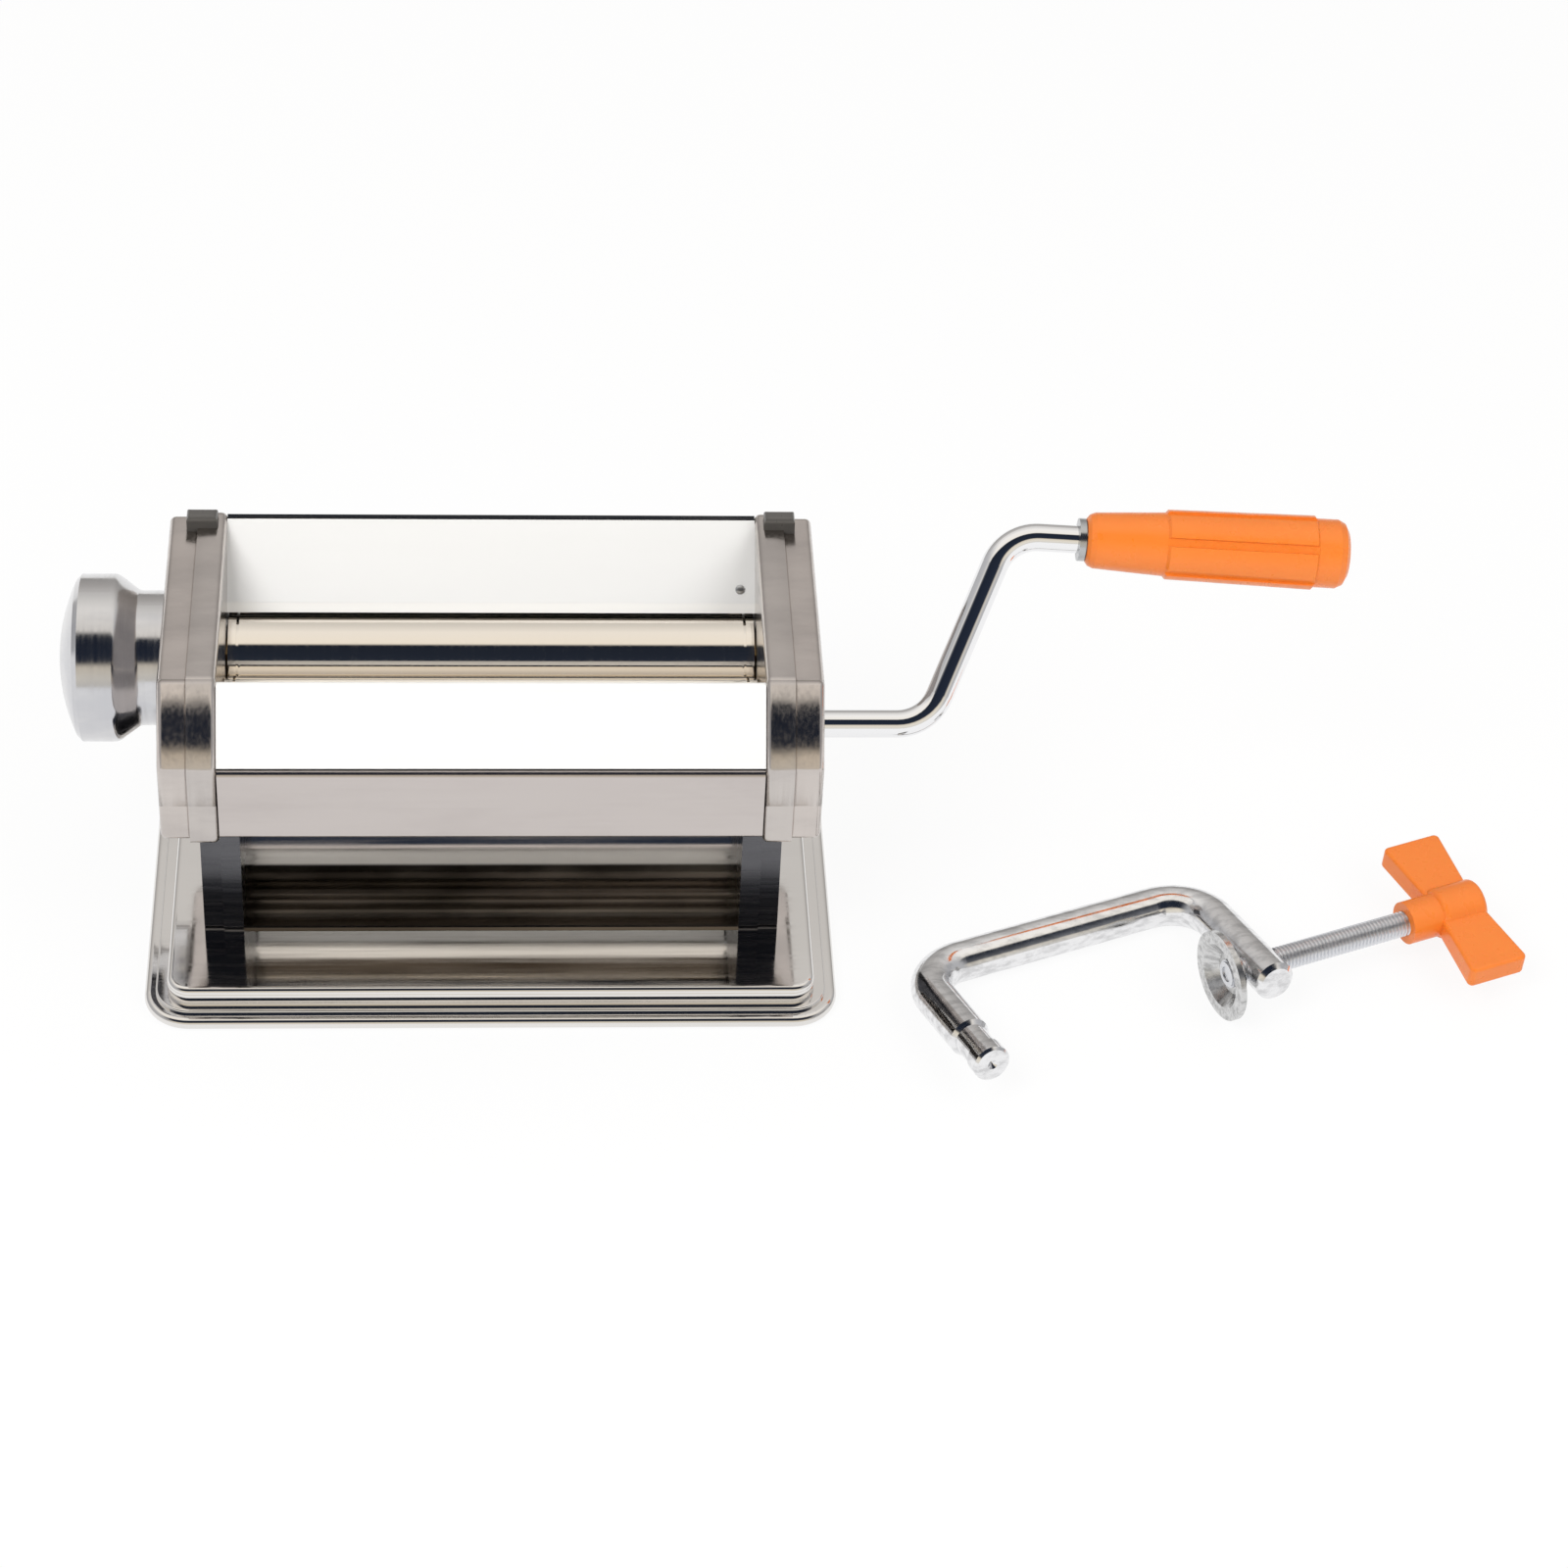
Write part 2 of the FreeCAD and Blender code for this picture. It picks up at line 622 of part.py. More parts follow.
# Rollers, shafts, bushes and gears
def roller(y):
    """Polished roller tube with a narrow groove near each end."""
    tube = rod_x(ROLLER_DIA, -HALF_ROLLER, HALF_ROLLER, y, AXIS_HEIGHT)
    cuts = [rod_x(ROLLER_BORE, -HALF_ROLLER, HALF_ROLLER, y, AXIS_HEIGHT)]
    for x in (-HALF_ROLLER + COLLAR_WIDTH, HALF_ROLLER - COLLAR_WIDTH - GROOVE_WIDTH):
        ring = rod_x(ROLLER_DIA + 2, x, x + GROOVE_WIDTH, y, AXIS_HEIGHT)
        cuts.append(ring.cut(rod_x(ROLLER_DIA - 2 * GROOVE_DEPTH, x, x + GROOVE_WIDTH, y, AXIS_HEIGHT)))
    return cut_all(tube, cuts)


def shaft(y, left_end, right_end):
    """Roller shaft with a plug at each end that fills the tube."""
    plug, core, journal = ROLLER_BORE / 2, SHAFT_CORE_DIA / 2, JOURNAL_DIA / 2
    inside = HALF_ROLLER - PLUG_LENGTH
    profile = [(-left_end, 0), (-left_end, journal), (-HALF_ROLLER, journal), (-HALF_ROLLER, plug)]
    profile += [(-inside, plug), (-inside, core), (inside, core), (inside, plug)]
    profile += [(HALF_ROLLER, plug), (HALF_ROLLER, journal), (right_end, journal), (right_end, 0)]
    return turned_x(profile, y, AXIS_HEIGHT)


def front_shaft():
    """Driven shaft with a six-sided socket for the crank."""
    body = shaft(FRONT_Y, BUSH_OUT_X + SHEET, SOCKET_END_X)
    return body.cut(hexagon_x(HEX_FLATS, SOCKET_END_X - HEX_DEPTH, SOCKET_END_X, FRONT_Y, AXIS_HEIGHT))


def rear_shaft():
    """Follower shaft, carried by the sliding bushes."""
    return shaft(REAR_Y, BUSH_OUT_X, GEAR_OUT_X)


def journal_hole(y):
    """Running bore of a right bush."""
    return rod_x(JOURNAL_DIA + 2 * RUNNING_CLEARANCE, BUSH_IN_X, BUSH_OUT_X, y, AXIS_HEIGHT)


def front_bush():
    """Right round bush of the front roller."""
    return rod_x(BUSH_DIA, BUSH_IN_X, BUSH_OUT_X, FRONT_Y, AXIS_HEIGHT).cut(journal_hole(FRONT_Y))


def rear_bush():
    """Right square bush of the rear roller, which slides in its slot."""
    half = BUSH_DIA / 2
    low, high = AXIS_HEIGHT - half, AXIS_HEIGHT + half
    return box(BUSH_IN_X, BUSH_OUT_X, REAR_Y - half, REAR_Y + half, low, high).cut(journal_hole(REAR_Y))


def gear(y, phase):
    """Deep-toothed gear that stays in mesh while the roller gap changes."""
    wheel = rod_x(2 * GEAR_ROOT_R, GEAR_IN_X, GEAR_OUT_X, y, AXIS_HEIGHT)
    foot = GEAR_ROOT_R - TOOTH_ROOT / 2
    wide, slim = TOOTH_ROOT / 2, TOOTH_TIP / 2
    section = [(foot, -wide), (GEAR_TIP_R, -slim), (GEAR_TIP_R, slim), (foot, wide)]
    corners = [vec(GEAR_IN_X, y + a, AXIS_HEIGHT + b) for a, b in section]
    tooth = Part.Face(Part.makePolygon(corners + corners[:1])).extrude(vec(GEAR_FACE, 0, 0))
    teeth = []
    for i in range(GEAR_TEETH):
        copy = tooth.copy()
        copy.rotate(vec(0, y, AXIS_HEIGHT), X_AXIS, (i + phase) * 360 / GEAR_TEETH)
        teeth.append(copy)
    return joined(wheel, teeth).cut(rod_x(JOURNAL_DIA, GEAR_IN_X, GEAR_OUT_X, y, AXIS_HEIGHT))


# Thickness regulator
def carriage_arm():
    """Right plate from the sliding bush to the carriage rod."""
    wide, slim = ARM_BOSS_R, CARRIAGE_ROD_DIA
    outline = [(REAR_Y - wide, AXIS_HEIGHT - wide), (REAR_Y - wide, AXIS_HEIGHT + wide)]
    outline += [(CARRIAGE_ROD_Y + slim, CARRIAGE_ROD_Z + slim)]
    outline += [(CARRIAGE_ROD_Y + slim, CARRIAGE_ROD_Z - slim)]
    plate = profile_block(outline, CARRIAGE_ROD_DIA / 2, ARM_IN_X, ARM_OUT_X)
    clear = JOURNAL_DIA + 2 * MOVING_CLEARANCE
    holes = [rod_x(clear, ARM_IN_X, ARM_OUT_X, REAR_Y, AXIS_HEIGHT)]
    holes.append(rod_x(CARRIAGE_ROD_DIA, ARM_IN_X, ARM_OUT_X, CARRIAGE_ROD_Y, CARRIAGE_ROD_Z))
    return cut_all(plate, holes)


def left_carriage_arm():
    """Left plate with a frame round the cam, so the cam moves the carriage both ways."""
    plate = mirrored(carriage_arm())
    reach = CAM_DIA / 2 + MOVING_CLEARANCE
    tall = reach + ECCENTRIC
    centre = REAR_Y + ECCENTRIC
    x0, x1 = -ARM_OUT_X - YOKE_DEPTH, -ARM_OUT_X
    front, back = centre - reach, centre + reach
    low, high = AXIS_HEIGHT - tall, AXIS_HEIGHT + tall
    wall = YOKE_WALL
    outside = box(x0, x1, front - wall, back + wall, low - wall, high + wall)
    return joined(plate, [outside.cut(box(x0, x1, front, back, low, high))])


def carriage_rod():
    """Rod that keeps both ends of the rear roller parallel."""
    return rod_x(CARRIAGE_ROD_DIA, -ARM_OUT_X, ARM_OUT_X, CARRIAGE_ROD_Y, CARRIAGE_ROD_Z)


def regulator_spindle():
    """Spindle of the thickness knob with its eccentric cam."""
    cam_in = -ARM_OUT_X - MOVING_CLEARANCE
    cam = rod_x(CAM_DIA, cam_in - CAM_THICK, cam_in, REAR_Y + ECCENTRIC, AXIS_HEIGHT)
    end = -OUTER_X - KNOB_STANDOFF - KNOB_BORE_DEPTH
    return joined(cam, [rod_x(SPINDLE_DIA, end, cam_in - CAM_THICK / 2, REAR_Y, AXIS_HEIGHT)])


def on_knob(x, radius):
    """A point of the knob's half section."""
    return vec(x, REAR_Y, AXIS_HEIGHT + radius)


def knob_flare(rim_x, neck_x):
    """The S-shaped line from the knob's rim to its neck."""
    rim_r, neck_r = KNOB_DIA / 2, KNOB_NECK_DIA / 2
    lean = (rim_r - neck_r) * 0.16
    quarter = (neck_x - rim_x) / 4
    points = [on_knob(rim_x, rim_r), on_knob(rim_x + quarter, rim_r - lean)]
    points.append(on_knob(rim_x + 2 * quarter, (rim_r + neck_r) / 2))
    points += [on_knob(neck_x - quarter, neck_r + lean), on_knob(neck_x, neck_r)]
    curve = Part.BSplineCurve()
    curve.interpolate(points, InitialTangent=X_AXIS, FinalTangent=X_AXIS)
    return curve.toShape()


def thickness_knob():
    """Turned knob: slim neck by the housing, an S-shaped flare, a wide rim and a domed end."""
    base = -OUTER_X - KNOB_STANDOFF
    end = base - KNOB_LENGTH
    rim_r, neck_r = KNOB_DIA / 2, KNOB_NECK_DIA / 2
    rim_out = end + KNOB_DOME
    rim_in = rim_out + KNOB_EDGE + KNOB_RIM
    neck_x = rim_in + KNOB_CURVE
    lip = on_knob(rim_out, rim_r - KNOB_EDGE)
    corner = on_knob(rim_out + KNOB_EDGE, rim_r)
    dome = Part.Arc(on_knob(end, 0), on_knob(end + KNOB_DOME * 0.27, rim_r * 0.5), lip)
    edges = [dome.toShape(), Part.LineSegment(lip, corner).toShape()]
    edges += [Part.LineSegment(corner, on_knob(rim_in, rim_r)).toShape(), knob_flare(rim_in, neck_x)]
    corners = [on_knob(neck_x, neck_r), on_knob(base, neck_r), on_knob(base, 0), on_knob(end, 0)]
    edges += [Part.LineSegment(a, b).toShape() for a, b in zip(corners, corners[1:])]
    body = Part.Face(Part.Wire(edges)).revolve(on_knob(0, 0), X_AXIS, 360)
    return body.cut(rod_x(SPINDLE_DIA, base - KNOB_BORE_DEPTH, base, REAR_Y, AXIS_HEIGHT))


# Crank
LEAN = math.radians(CRANK_LEAN_BACK)
DROOP = math.radians(CRANK_DROOP)
CRANK_UP = vec(0, math.sin(LEAN), math.cos(LEAN))
CRANK_CORNER_1 = vec(CRANK_RUN_X, FRONT_Y, AXIS_HEIGHT)
CRANK_CORNER_2 = CRANK_CORNER_1 + X_AXIS * CRANK_LEAN_X + CRANK_UP * CRANK_THROW
GRIP_AXIS = X_AXIS * math.cos(DROOP) - CRANK_UP * math.sin(DROOP)
GRIP_ACROSS = X_AXIS.cross(CRANK_UP)
GRIP_ORIGIN = CRANK_CORNER_2 + GRIP_AXIS * GRIP_START


def crank_rod():
    """Bent crank with a six-sided tip in the shaft's socket and a long pin for the grip."""
    start = vec(SOCKET_END_X + CRANK_TIP_PLAY, FRONT_Y, AXIS_HEIGHT)
    finish = GRIP_ORIGIN + GRIP_AXIS * (GRIP_BORE_DEPTH - MOVING_CLEARANCE)
    points = [start, CRANK_CORNER_1, CRANK_CORNER_2, finish]
    path = Part.Wire(rounded_path(points, [CRANK_BEND, CRANK_BEND]))
    ring = Part.Wire(Part.Circle(start, X_AXIS, CRANK_DIA / 2).toShape())
    bar = path.makePipeShell([ring], True, False)
    flats = HEX_FLATS - 2 * HEX_CLEARANCE
    tip_x = SOCKET_END_X - HEX_DEPTH + 1
    return joined(bar, [hexagon_x(flats, tip_x, start.x, FRONT_Y, AXIS_HEIGHT)])


def grip_collar():
    """Pressed collar that keeps the grip on the crank."""
    start = GRIP_ORIGIN - GRIP_AXIS * (COLLAR_THICK + MOVING_CLEARANCE)
    ring = Part.makeCylinder(COLLAR_DIA / 2, COLLAR_THICK, start, GRIP_AXIS)
    return ring.cut(Part.makeCylinder(CRANK_DIA / 2, COLLAR_THICK, start, GRIP_AXIS))


def crank_grip():
    """Tapered grip with raised pads and a plain rounded end."""
    neck, middle, full, cap = GRIP_NECK_DIA / 2, GRIP_MID_DIA / 2, GRIP_FULL_DIA / 2, GRIP_CAP_DIA / 2
    pads_end = GRIP_LENGTH - GRIP_CAP_LENGTH
    end = GRIP_LENGTH
    profile = [(0, 0), (0, neck - 2), (1.0, neck - 0.7), (2.6, neck)]
    profile += [(GRIP_PAD_START, middle - GRIP_FLUTE_DEPTH)]
    profile += [(GRIP_PAD_START + 0.8, middle), (pads_end - 0.6, full), (pads_end, cap)]
    profile += [(end - 3.2, cap), (end - 1.2, cap - 1.0), (end, cap - 3.2), (end, 0)]
    body = turned(profile, GRIP_ORIGIN, GRIP_AXIS, GRIP_ACROSS)
    bore = Part.makeCylinder(CRANK_DIA / 2 + RUNNING_CLEARANCE, GRIP_BORE_DEPTH, GRIP_ORIGIN, GRIP_AXIS)
    grooves = [grip_groove(i * 360 / GRIP_FLUTES) for i in range(GRIP_FLUTES)]
    return cut_all(body.cut(bore), grooves)


def grip_groove(angle):
    """One lengthwise groove between the grip's raised pads."""
    half = GRIP_FLUTE_WIDTH / 2
    up = GRIP_AXIS.cross(GRIP_ACROSS)
    starts = (GRIP_PAD_START - 0.2, GRIP_MID_DIA / 2 - GRIP_FLUTE_DEPTH)
    ends = (GRIP_LENGTH - GRIP_CAP_LENGTH + 0.2, GRIP_FULL_DIA / 2 - GRIP_FLUTE_DEPTH)
    wires = []
    for along, low in (starts, ends):
        centre = GRIP_ORIGIN + GRIP_AXIS * along
        section = ((low, -half), (low, half), (low + 4, half + 1), (low + 4, -half - 1))
        corners = [centre + GRIP_ACROSS * r + up * s for r, s in section]
        wires.append(Part.makePolygon(corners + corners[:1]))
    groove = Part.makeLoft(wires, True, True)
    groove.rotate(GRIP_ORIGIN, GRIP_AXIS, angle)
    return groove


# Table clamp: its back bar runs along X and its arms point towards the front
CLAMP_TILT = math.degrees(math.asin((PAD_DIA / 2 - CLAMP_DIA / 2 + TABLE_PLAY) / SCREW_FROM_BACK))


def laid_down(shape):
    """A clamp shape moved from its own plane to where it lies on the table."""
    copy = shape.copy()
    copy.rotate(ORIGIN, X_AXIS, -CLAMP_TILT)
    copy.rotate(ORIGIN, Z_AXIS, CLAMP_YAW)
    copy.translate(vec(CLAMP_X, CLAMP_Y, CLAMP_DIA / 2 + TABLE_PLAY))
    return copy


def clamp_pin(start):
    """Necked pin of the clamp with an end collar and a centre dimple."""
    collar, neck, full = PIN_COLLAR_DIA / 2, PIN_NECK_DIA / 2, CLAMP_DIA / 2
    far = PIN_NECK_LENGTH + PIN_COLLAR_LENGTH
    profile = [(-PIN_SHOULDER, 0), (-PIN_SHOULDER, full), (0, full), (PIN_SHOULDER, full - PIN_SHOULDER)]
    profile += [(PIN_SHOULDER, neck), (PIN_NECK_LENGTH, neck), (PIN_NECK_LENGTH, collar - 0.5)]
    profile += [(PIN_NECK_LENGTH + 0.5, collar), (far - 0.8, collar)]
    profile += [(far, collar - 0.8), (far, 1.6), (far - 1.2, 0)]
    return turned(profile, start, vec(0, -1, 0), X_AXIS)


def clamp_bar():
    """Bent clamp bar with a necked pin on one arm and a cross hole for the screw in the other."""
    start = vec(0, -CLAMP_ARM + PIN_NECK_LENGTH + PIN_COLLAR_LENGTH, 0)
    tip = vec(CLAMP_SPAN, -CLAMP_ARM + ARM_END_CHAMFER, 0)
    path = Part.Wire(rounded_path([start, ORIGIN, vec(CLAMP_SPAN, 0, 0), tip], [CLAMP_BEND, CLAMP_BEND]))
    ring = Part.Wire(Part.Circle(start, Y_AXIS, CLAMP_DIA / 2).toShape())
    bar = path.makePipeShell([ring], True, False)
    full = CLAMP_DIA / 2
    cap = [(-1, 0), (-1, full), (0, full), (ARM_END_CHAMFER, full - ARM_END_CHAMFER), (ARM_END_CHAMFER, 0)]
    end = turned(cap, tip, vec(0, -1, 0), X_AXIS)
    hole_start = vec(CLAMP_SPAN - CLAMP_DIA, -SCREW_FROM_BACK, 0)
    hole = Part.makeCylinder(SCREW_DIA / 2 + RUNNING_CLEARANCE, 2 * CLAMP_DIA, hole_start, X_AXIS)
    return laid_down(joined(bar, [clamp_pin(start), end]).cut(hole))


PAD_BACK_X = CLAMP_SPAN - CLAMP_DIA / 2 - PAD_GAP
SCREW_START_X = PAD_BACK_X + PAD_PLAY


def pressure_disc():
    """Dished disc on the screw's end, with its rim towards the pin arm."""
    rim, floor = PAD_DIA / 2, PAD_FLOOR_DIA / 2
    hole = SWIVEL_DIA / 2 + SEAT_CLEARANCE
    face = PAD_DISH + PAD_THICK
    turn = floor + PAD_DISH
    profile = [(0, hole), (0, floor), (PAD_DISH, turn), (PAD_DISH, rim)]
    profile += [(face, rim), (face, turn - PAD_THICK / 2)]
    profile += [(PAD_THICK, floor - PAD_THICK / 2), (PAD_THICK, hole)]
    centre = vec(PAD_BACK_X, -SCREW_FROM_BACK, 0)
    return laid_down(turned(profile, centre, vec(-1, 0, 0), Z_AXIS))


def clamp_screw():
    """Clamp screw with a swivel pin riveted through the disc."""
    inside = PAD_THICK + 2 * PAD_PLAY
    head_end = inside + SWIVEL_HEAD_THICK
    rod, pin, head = SCREW_DIA / 2, SWIVEL_DIA / 2, SWIVEL_HEAD_DIA / 2
    far = CLAMP_SPAN + SCREW_REACH - SCREW_START_X
    profile = [(-head_end, 0), (-head_end, head - 1), (-inside - 0.6, head), (-inside, head)]
    profile += [(-inside, pin), (0, pin), (0, rod), (far, rod), (far, 0)]
    return laid_down(turned(profile, vec(SCREW_START_X, -SCREW_FROM_BACK, 0), X_AXIS, Z_AXIS))


def wing_plan(inner, y):
    """Bow-tie outline of the wing, squared at both ends and waisted at the hub."""
    outer = inner + WING_CHORD
    half, low = WING_SPAN / 2, -WING_THICK / 2
    corners = [vec(inner, y - half, low), vec(outer, y - half, low), vec(outer - WING_WAIST, y, low)]
    corners += [vec(outer, y + half, low), vec(inner, y + half, low), vec(inner + WING_WAIST, y, low)]
    return rounded_loop(corners, WING_CORNER)


def wing_knob():
    """Moulded wing fixed on the screw's end: a bow-tie plate over a round hub."""
    middle = CLAMP_SPAN + SCREW_REACH
    inner = middle - WING_CHORD / 2
    y = -SCREW_FROM_BACK
    thick = WING_THICK / 2
    plate = Part.Face(wing_plan(inner, y)).extrude(vec(0, 0, WING_THICK))
    rims = edges_in_plane(plate, "z", thick) + edges_in_plane(plate, "z", -thick)
    plate = plate.makeFillet(WING_EDGE, rims)
    hub_length = HUB_LENGTH + WING_CHORD / 2
    hub = Part.makeCylinder(HUB_DIA / 2, hub_length, vec(inner - HUB_LENGTH, y, 0), X_AXIS)
    start, end = inner + WING_WAIST, inner + WING_CHORD - WING_WAIST / 2
    bulge = Part.makeCylinder(WING_BULGE_DIA / 2, end - start, vec(start, y, 0), X_AXIS)
    ends = edges_in_plane(bulge, "x", start) + edges_in_plane(bulge, "x", end)
    bulge = bulge.makeFillet(WING_BULGE_ROUND, ends)
    hole = Part.makeCylinder(SCREW_DIA / 2, SCREW_REACH, vec(middle - SCREW_REACH, y, 0), X_AXIS)
    knob = joined(plate, [hub, bulge]).cut(hole)
    knob.rotate(vec(middle, y, 0), X_AXIS, WING_ROLL)
    return laid_down(knob)


def all_parts():
    """Every piece of the machine by name."""
    frame = side_frame()
    stand = leg()
    bush = front_bush()
    slider = rear_bush()
    lug = accessory_lug()
    spindle_hole = SPINDLE_DIA + 2 * RUNNING_CLEARANCE
    return {
        "base_plate": base_plate(),
        "base_screws": base_screws(),
        "rubber_feet": rubber_feet(),
        "right_leg": stand,
        "left_leg": mirrored(stand),
        "right_side_frame": frame,
        "left_side_frame": mirrored(frame),
        "right_outer_cover": outer_cover(CRANK_DIA + 3, FRONT_Y),
        "left_outer_cover": mirrored(outer_cover(spindle_hole, REAR_Y)),
        "right_accessory_lug": lug,
        "left_accessory_lug": mirrored(lug),
        "front_panel": front_panel(),
        "front_skirt": front_skirt(),
        "hopper_plate": hopper_plate(),
        "rear_cover": rear_cover(),
        "chute_plate": chute_plate(),
        "rear_sill": rear_sill(),
        "clamp_socket": clamp_socket(),
        "tie_rods": tie_rods(),
        "front_scraper": scraper(-1),
        "rear_scraper": scraper(1),
        "right_front_bush": bush,
        "left_front_bush": mirrored(bush),
        "front_roller": roller(FRONT_Y),
        "front_shaft": front_shaft(),
        "front_gear": gear(FRONT_Y, 0),
        "rear_roller": roller(REAR_Y),
        "rear_shaft": rear_shaft(),
        "rear_gear": gear(REAR_Y, 0.5),
        "right_rear_bush": slider,
        "left_rear_bush": mirrored(slider),
        "right_carriage_arm": carriage_arm(),
        "left_carriage_arm": left_carriage_arm(),
        "carriage_rod": carriage_rod(),
        "regulator_spindle": regulator_spindle(),
        "thickness_knob": thickness_knob(),
        "crank_rod": crank_rod(),
        "grip_collar": grip_collar(),
        "crank_grip": crank_grip(),
        "clamp_bar": clamp_bar(),
        "pressure_disc": pressure_disc(),
        "clamp_screw": clamp_screw(),
        "wing_knob": wing_knob(),
    }


os.makedirs("parts", exist_ok=True)
for name, shape in all_parts().items():
    shape.exportStep("parts/" + name + ".step")
    print(name, shape.isValid(), len(shape.Solids), round(shape.Volume, 1), shape.BoundBox)
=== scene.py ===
"""Looks of a hand-cranked pasta roller machine with its loose table clamp.

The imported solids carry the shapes. This script gives every piece its finish, adds the small forms
that only matter to the eye, and sets the studio round the machine.
"""

import json
import logging
import math
from dataclasses import dataclass, field
from enum import Enum

import bpy
import numpy as np
from mathutils import Matrix, Vector

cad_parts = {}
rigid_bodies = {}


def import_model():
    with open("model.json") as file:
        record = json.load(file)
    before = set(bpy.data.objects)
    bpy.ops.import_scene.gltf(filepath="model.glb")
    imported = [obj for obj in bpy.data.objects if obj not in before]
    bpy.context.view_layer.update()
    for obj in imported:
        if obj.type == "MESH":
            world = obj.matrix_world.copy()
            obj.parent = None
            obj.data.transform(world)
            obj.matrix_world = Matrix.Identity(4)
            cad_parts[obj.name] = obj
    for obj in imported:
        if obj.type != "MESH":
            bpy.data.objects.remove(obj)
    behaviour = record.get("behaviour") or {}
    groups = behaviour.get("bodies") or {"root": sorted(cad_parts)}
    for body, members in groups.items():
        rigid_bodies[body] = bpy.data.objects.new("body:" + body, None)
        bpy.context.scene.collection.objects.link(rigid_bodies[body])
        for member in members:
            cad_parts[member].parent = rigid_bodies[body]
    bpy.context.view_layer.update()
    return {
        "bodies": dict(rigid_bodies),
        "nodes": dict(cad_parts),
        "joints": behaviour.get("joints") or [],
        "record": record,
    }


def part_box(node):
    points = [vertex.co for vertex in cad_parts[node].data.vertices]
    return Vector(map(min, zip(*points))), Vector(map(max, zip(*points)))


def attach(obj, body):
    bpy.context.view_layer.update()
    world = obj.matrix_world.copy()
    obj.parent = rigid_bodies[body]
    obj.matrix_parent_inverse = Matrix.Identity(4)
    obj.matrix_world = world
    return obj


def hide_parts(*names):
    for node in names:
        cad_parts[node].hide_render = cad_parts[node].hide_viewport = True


logging.basicConfig(level=logging.INFO, format="%(name)s: %(message)s")
LOG = logging.getLogger("pasta_roller")

MM = 0.001
FULL_TURN = 2 * math.pi

Colour = tuple[float, float, float]
Tree = bpy.types.ShaderNodeTree
Node = bpy.types.Node
Socket = bpy.types.NodeSocket


class Body(str, Enum):
    """Moving bodies that new pieces ride on."""

    FRAME = "frame"
    WING = "clamp_wing"


class Slot(str, Enum):
    """Material slots of the record that new pieces take."""

    MACHINED = "machined_steel"
    ZINC = "zinc_steel"


class Kind(str, Enum):
    """Kinds of socket that a node group has."""

    VALUE = "NodeSocketFloat"
    VECTOR = "NodeSocketVector"
    COLOUR = "NodeSocketColor"


class Grain(Enum):
    """Way in which the polishing marks run, as a stretch of the pattern's coordinates."""

    NONE = (1.0, 1.0, 1.0)
    ALONG_ROLLERS = (0.02, 1.0, 1.0)
    ROUND_ROLLERS = (1.0, 0.03, 0.03)
    UPRIGHT = (1.0, 1.0, 0.04)


@dataclass(frozen=True)
class Bow:
    """A bowed facet, in metres, seen in the plane across the rollers.

    Args:
        low: Lower edge of the facet as (Y, Z).
        high: Upper edge of the facet as (Y, Z).
        rise: How far the middle stands proud of the edges, less than zero for a hollow.
    """

    low: tuple[float, float]
    high: tuple[float, float]
    rise: float

    def slope(self) -> Vector:
        """Direction from the lower edge to the upper one."""
        return Vector((0.0, self.high[0] - self.low[0], self.high[1] - self.low[1])).normalized()

    def middle(self) -> float:
        """Place of the facet's middle along its slope."""
        centre = Vector((0.0, (self.high[0] + self.low[0]) / 2, (self.high[1] + self.low[1]) / 2))
        return centre.dot(self.slope())

    def reach(self) -> float:
        """Half of the facet's width."""
        return math.dist(self.low, self.high) / 2


@dataclass(frozen=True)
class PaintedReflection:
    """Painted reflection: colours that change with height and stand in for the dark and light that a
    polished fold mirrors.

    Args:
        foot: Colour at the bottom, linear.
        band: Colour of the band above it, linear.
        foot_top: Height in metres at which the foot has turned into the band.
        band_top: Height in metres at which the band has turned into the finish's own colour.
        upper: Colour at the top, linear.
        own_top: Height in metres at which the finish's own colour has turned into the upper one.
        soft: How many metres the turns at the band's top and above it take.
    """

    foot: Colour
    band: Colour
    foot_top: float
    band_top: float
    upper: Colour
    own_top: float
    soft: float


@dataclass(frozen=True)
class Crown:
    """A pressing's rounded section, measured along the rollers from the machine's middle, in metres.

    Args:
        middle: Distance of the highest line from the machine's middle.
        half: Half of the rounded width.
        rise: How far the middle stands above the edges.
    """

    middle: float
    half: float
    rise: float


NO_CROWN = Crown(middle=0.0, half=1.0, rise=0.0)


@dataclass(frozen=True)
class Finish:
    """One surface finish.

    Args:
        name: Name of the material.
        colour: Base colour, linear.
        metallic: Share of metal, from 0 to 1.
        roughness: Mean roughness.
        rough_spread: How far the polishing marks change the roughness.
        grain: Way that the polishing marks run.
        grain_scale: Marks per metre across the grain.
        cloud: Share of the cloudy stain in the colour.
        stain: Colour of the cloudy stain, linear.
        cloud_scale: Clouds per metre.
        bump: Height of the marks in metres, 0 for a smooth surface.
        coat: Weight of a clear coat.
        scatter: Weight of light that scatters below the surface.
        bow: Bowed facet of the pressing, if it has one.
        crown: Rounded section of a bowed pressing.
        wave: Height in metres of the dents and swells that pressing leaves on a bowed facet.
        wave_scale: Swells per metre.
        shade: Painted reflection, colours that change with height under a stain, if it has them.
    """

    name: str
    colour: Colour
    metallic: float = 1.0
    roughness: float = 0.1
    rough_spread: float = 0.05
    grain: Grain = Grain.ALONG_ROLLERS
    grain_scale: float = 900.0
    cloud: float = 0.0
    stain: Colour = (0.3, 0.29, 0.28)
    cloud_scale: float = 40.0
    bump: float = 0.0
    coat: float = 0.0
    scatter: float = 0.0
    bow: Bow | None = None
    crown: Crown = NO_CROWN
    wave: float = 0.0
    wave_scale: float = 70.0
    shade: PaintedReflection | None = None


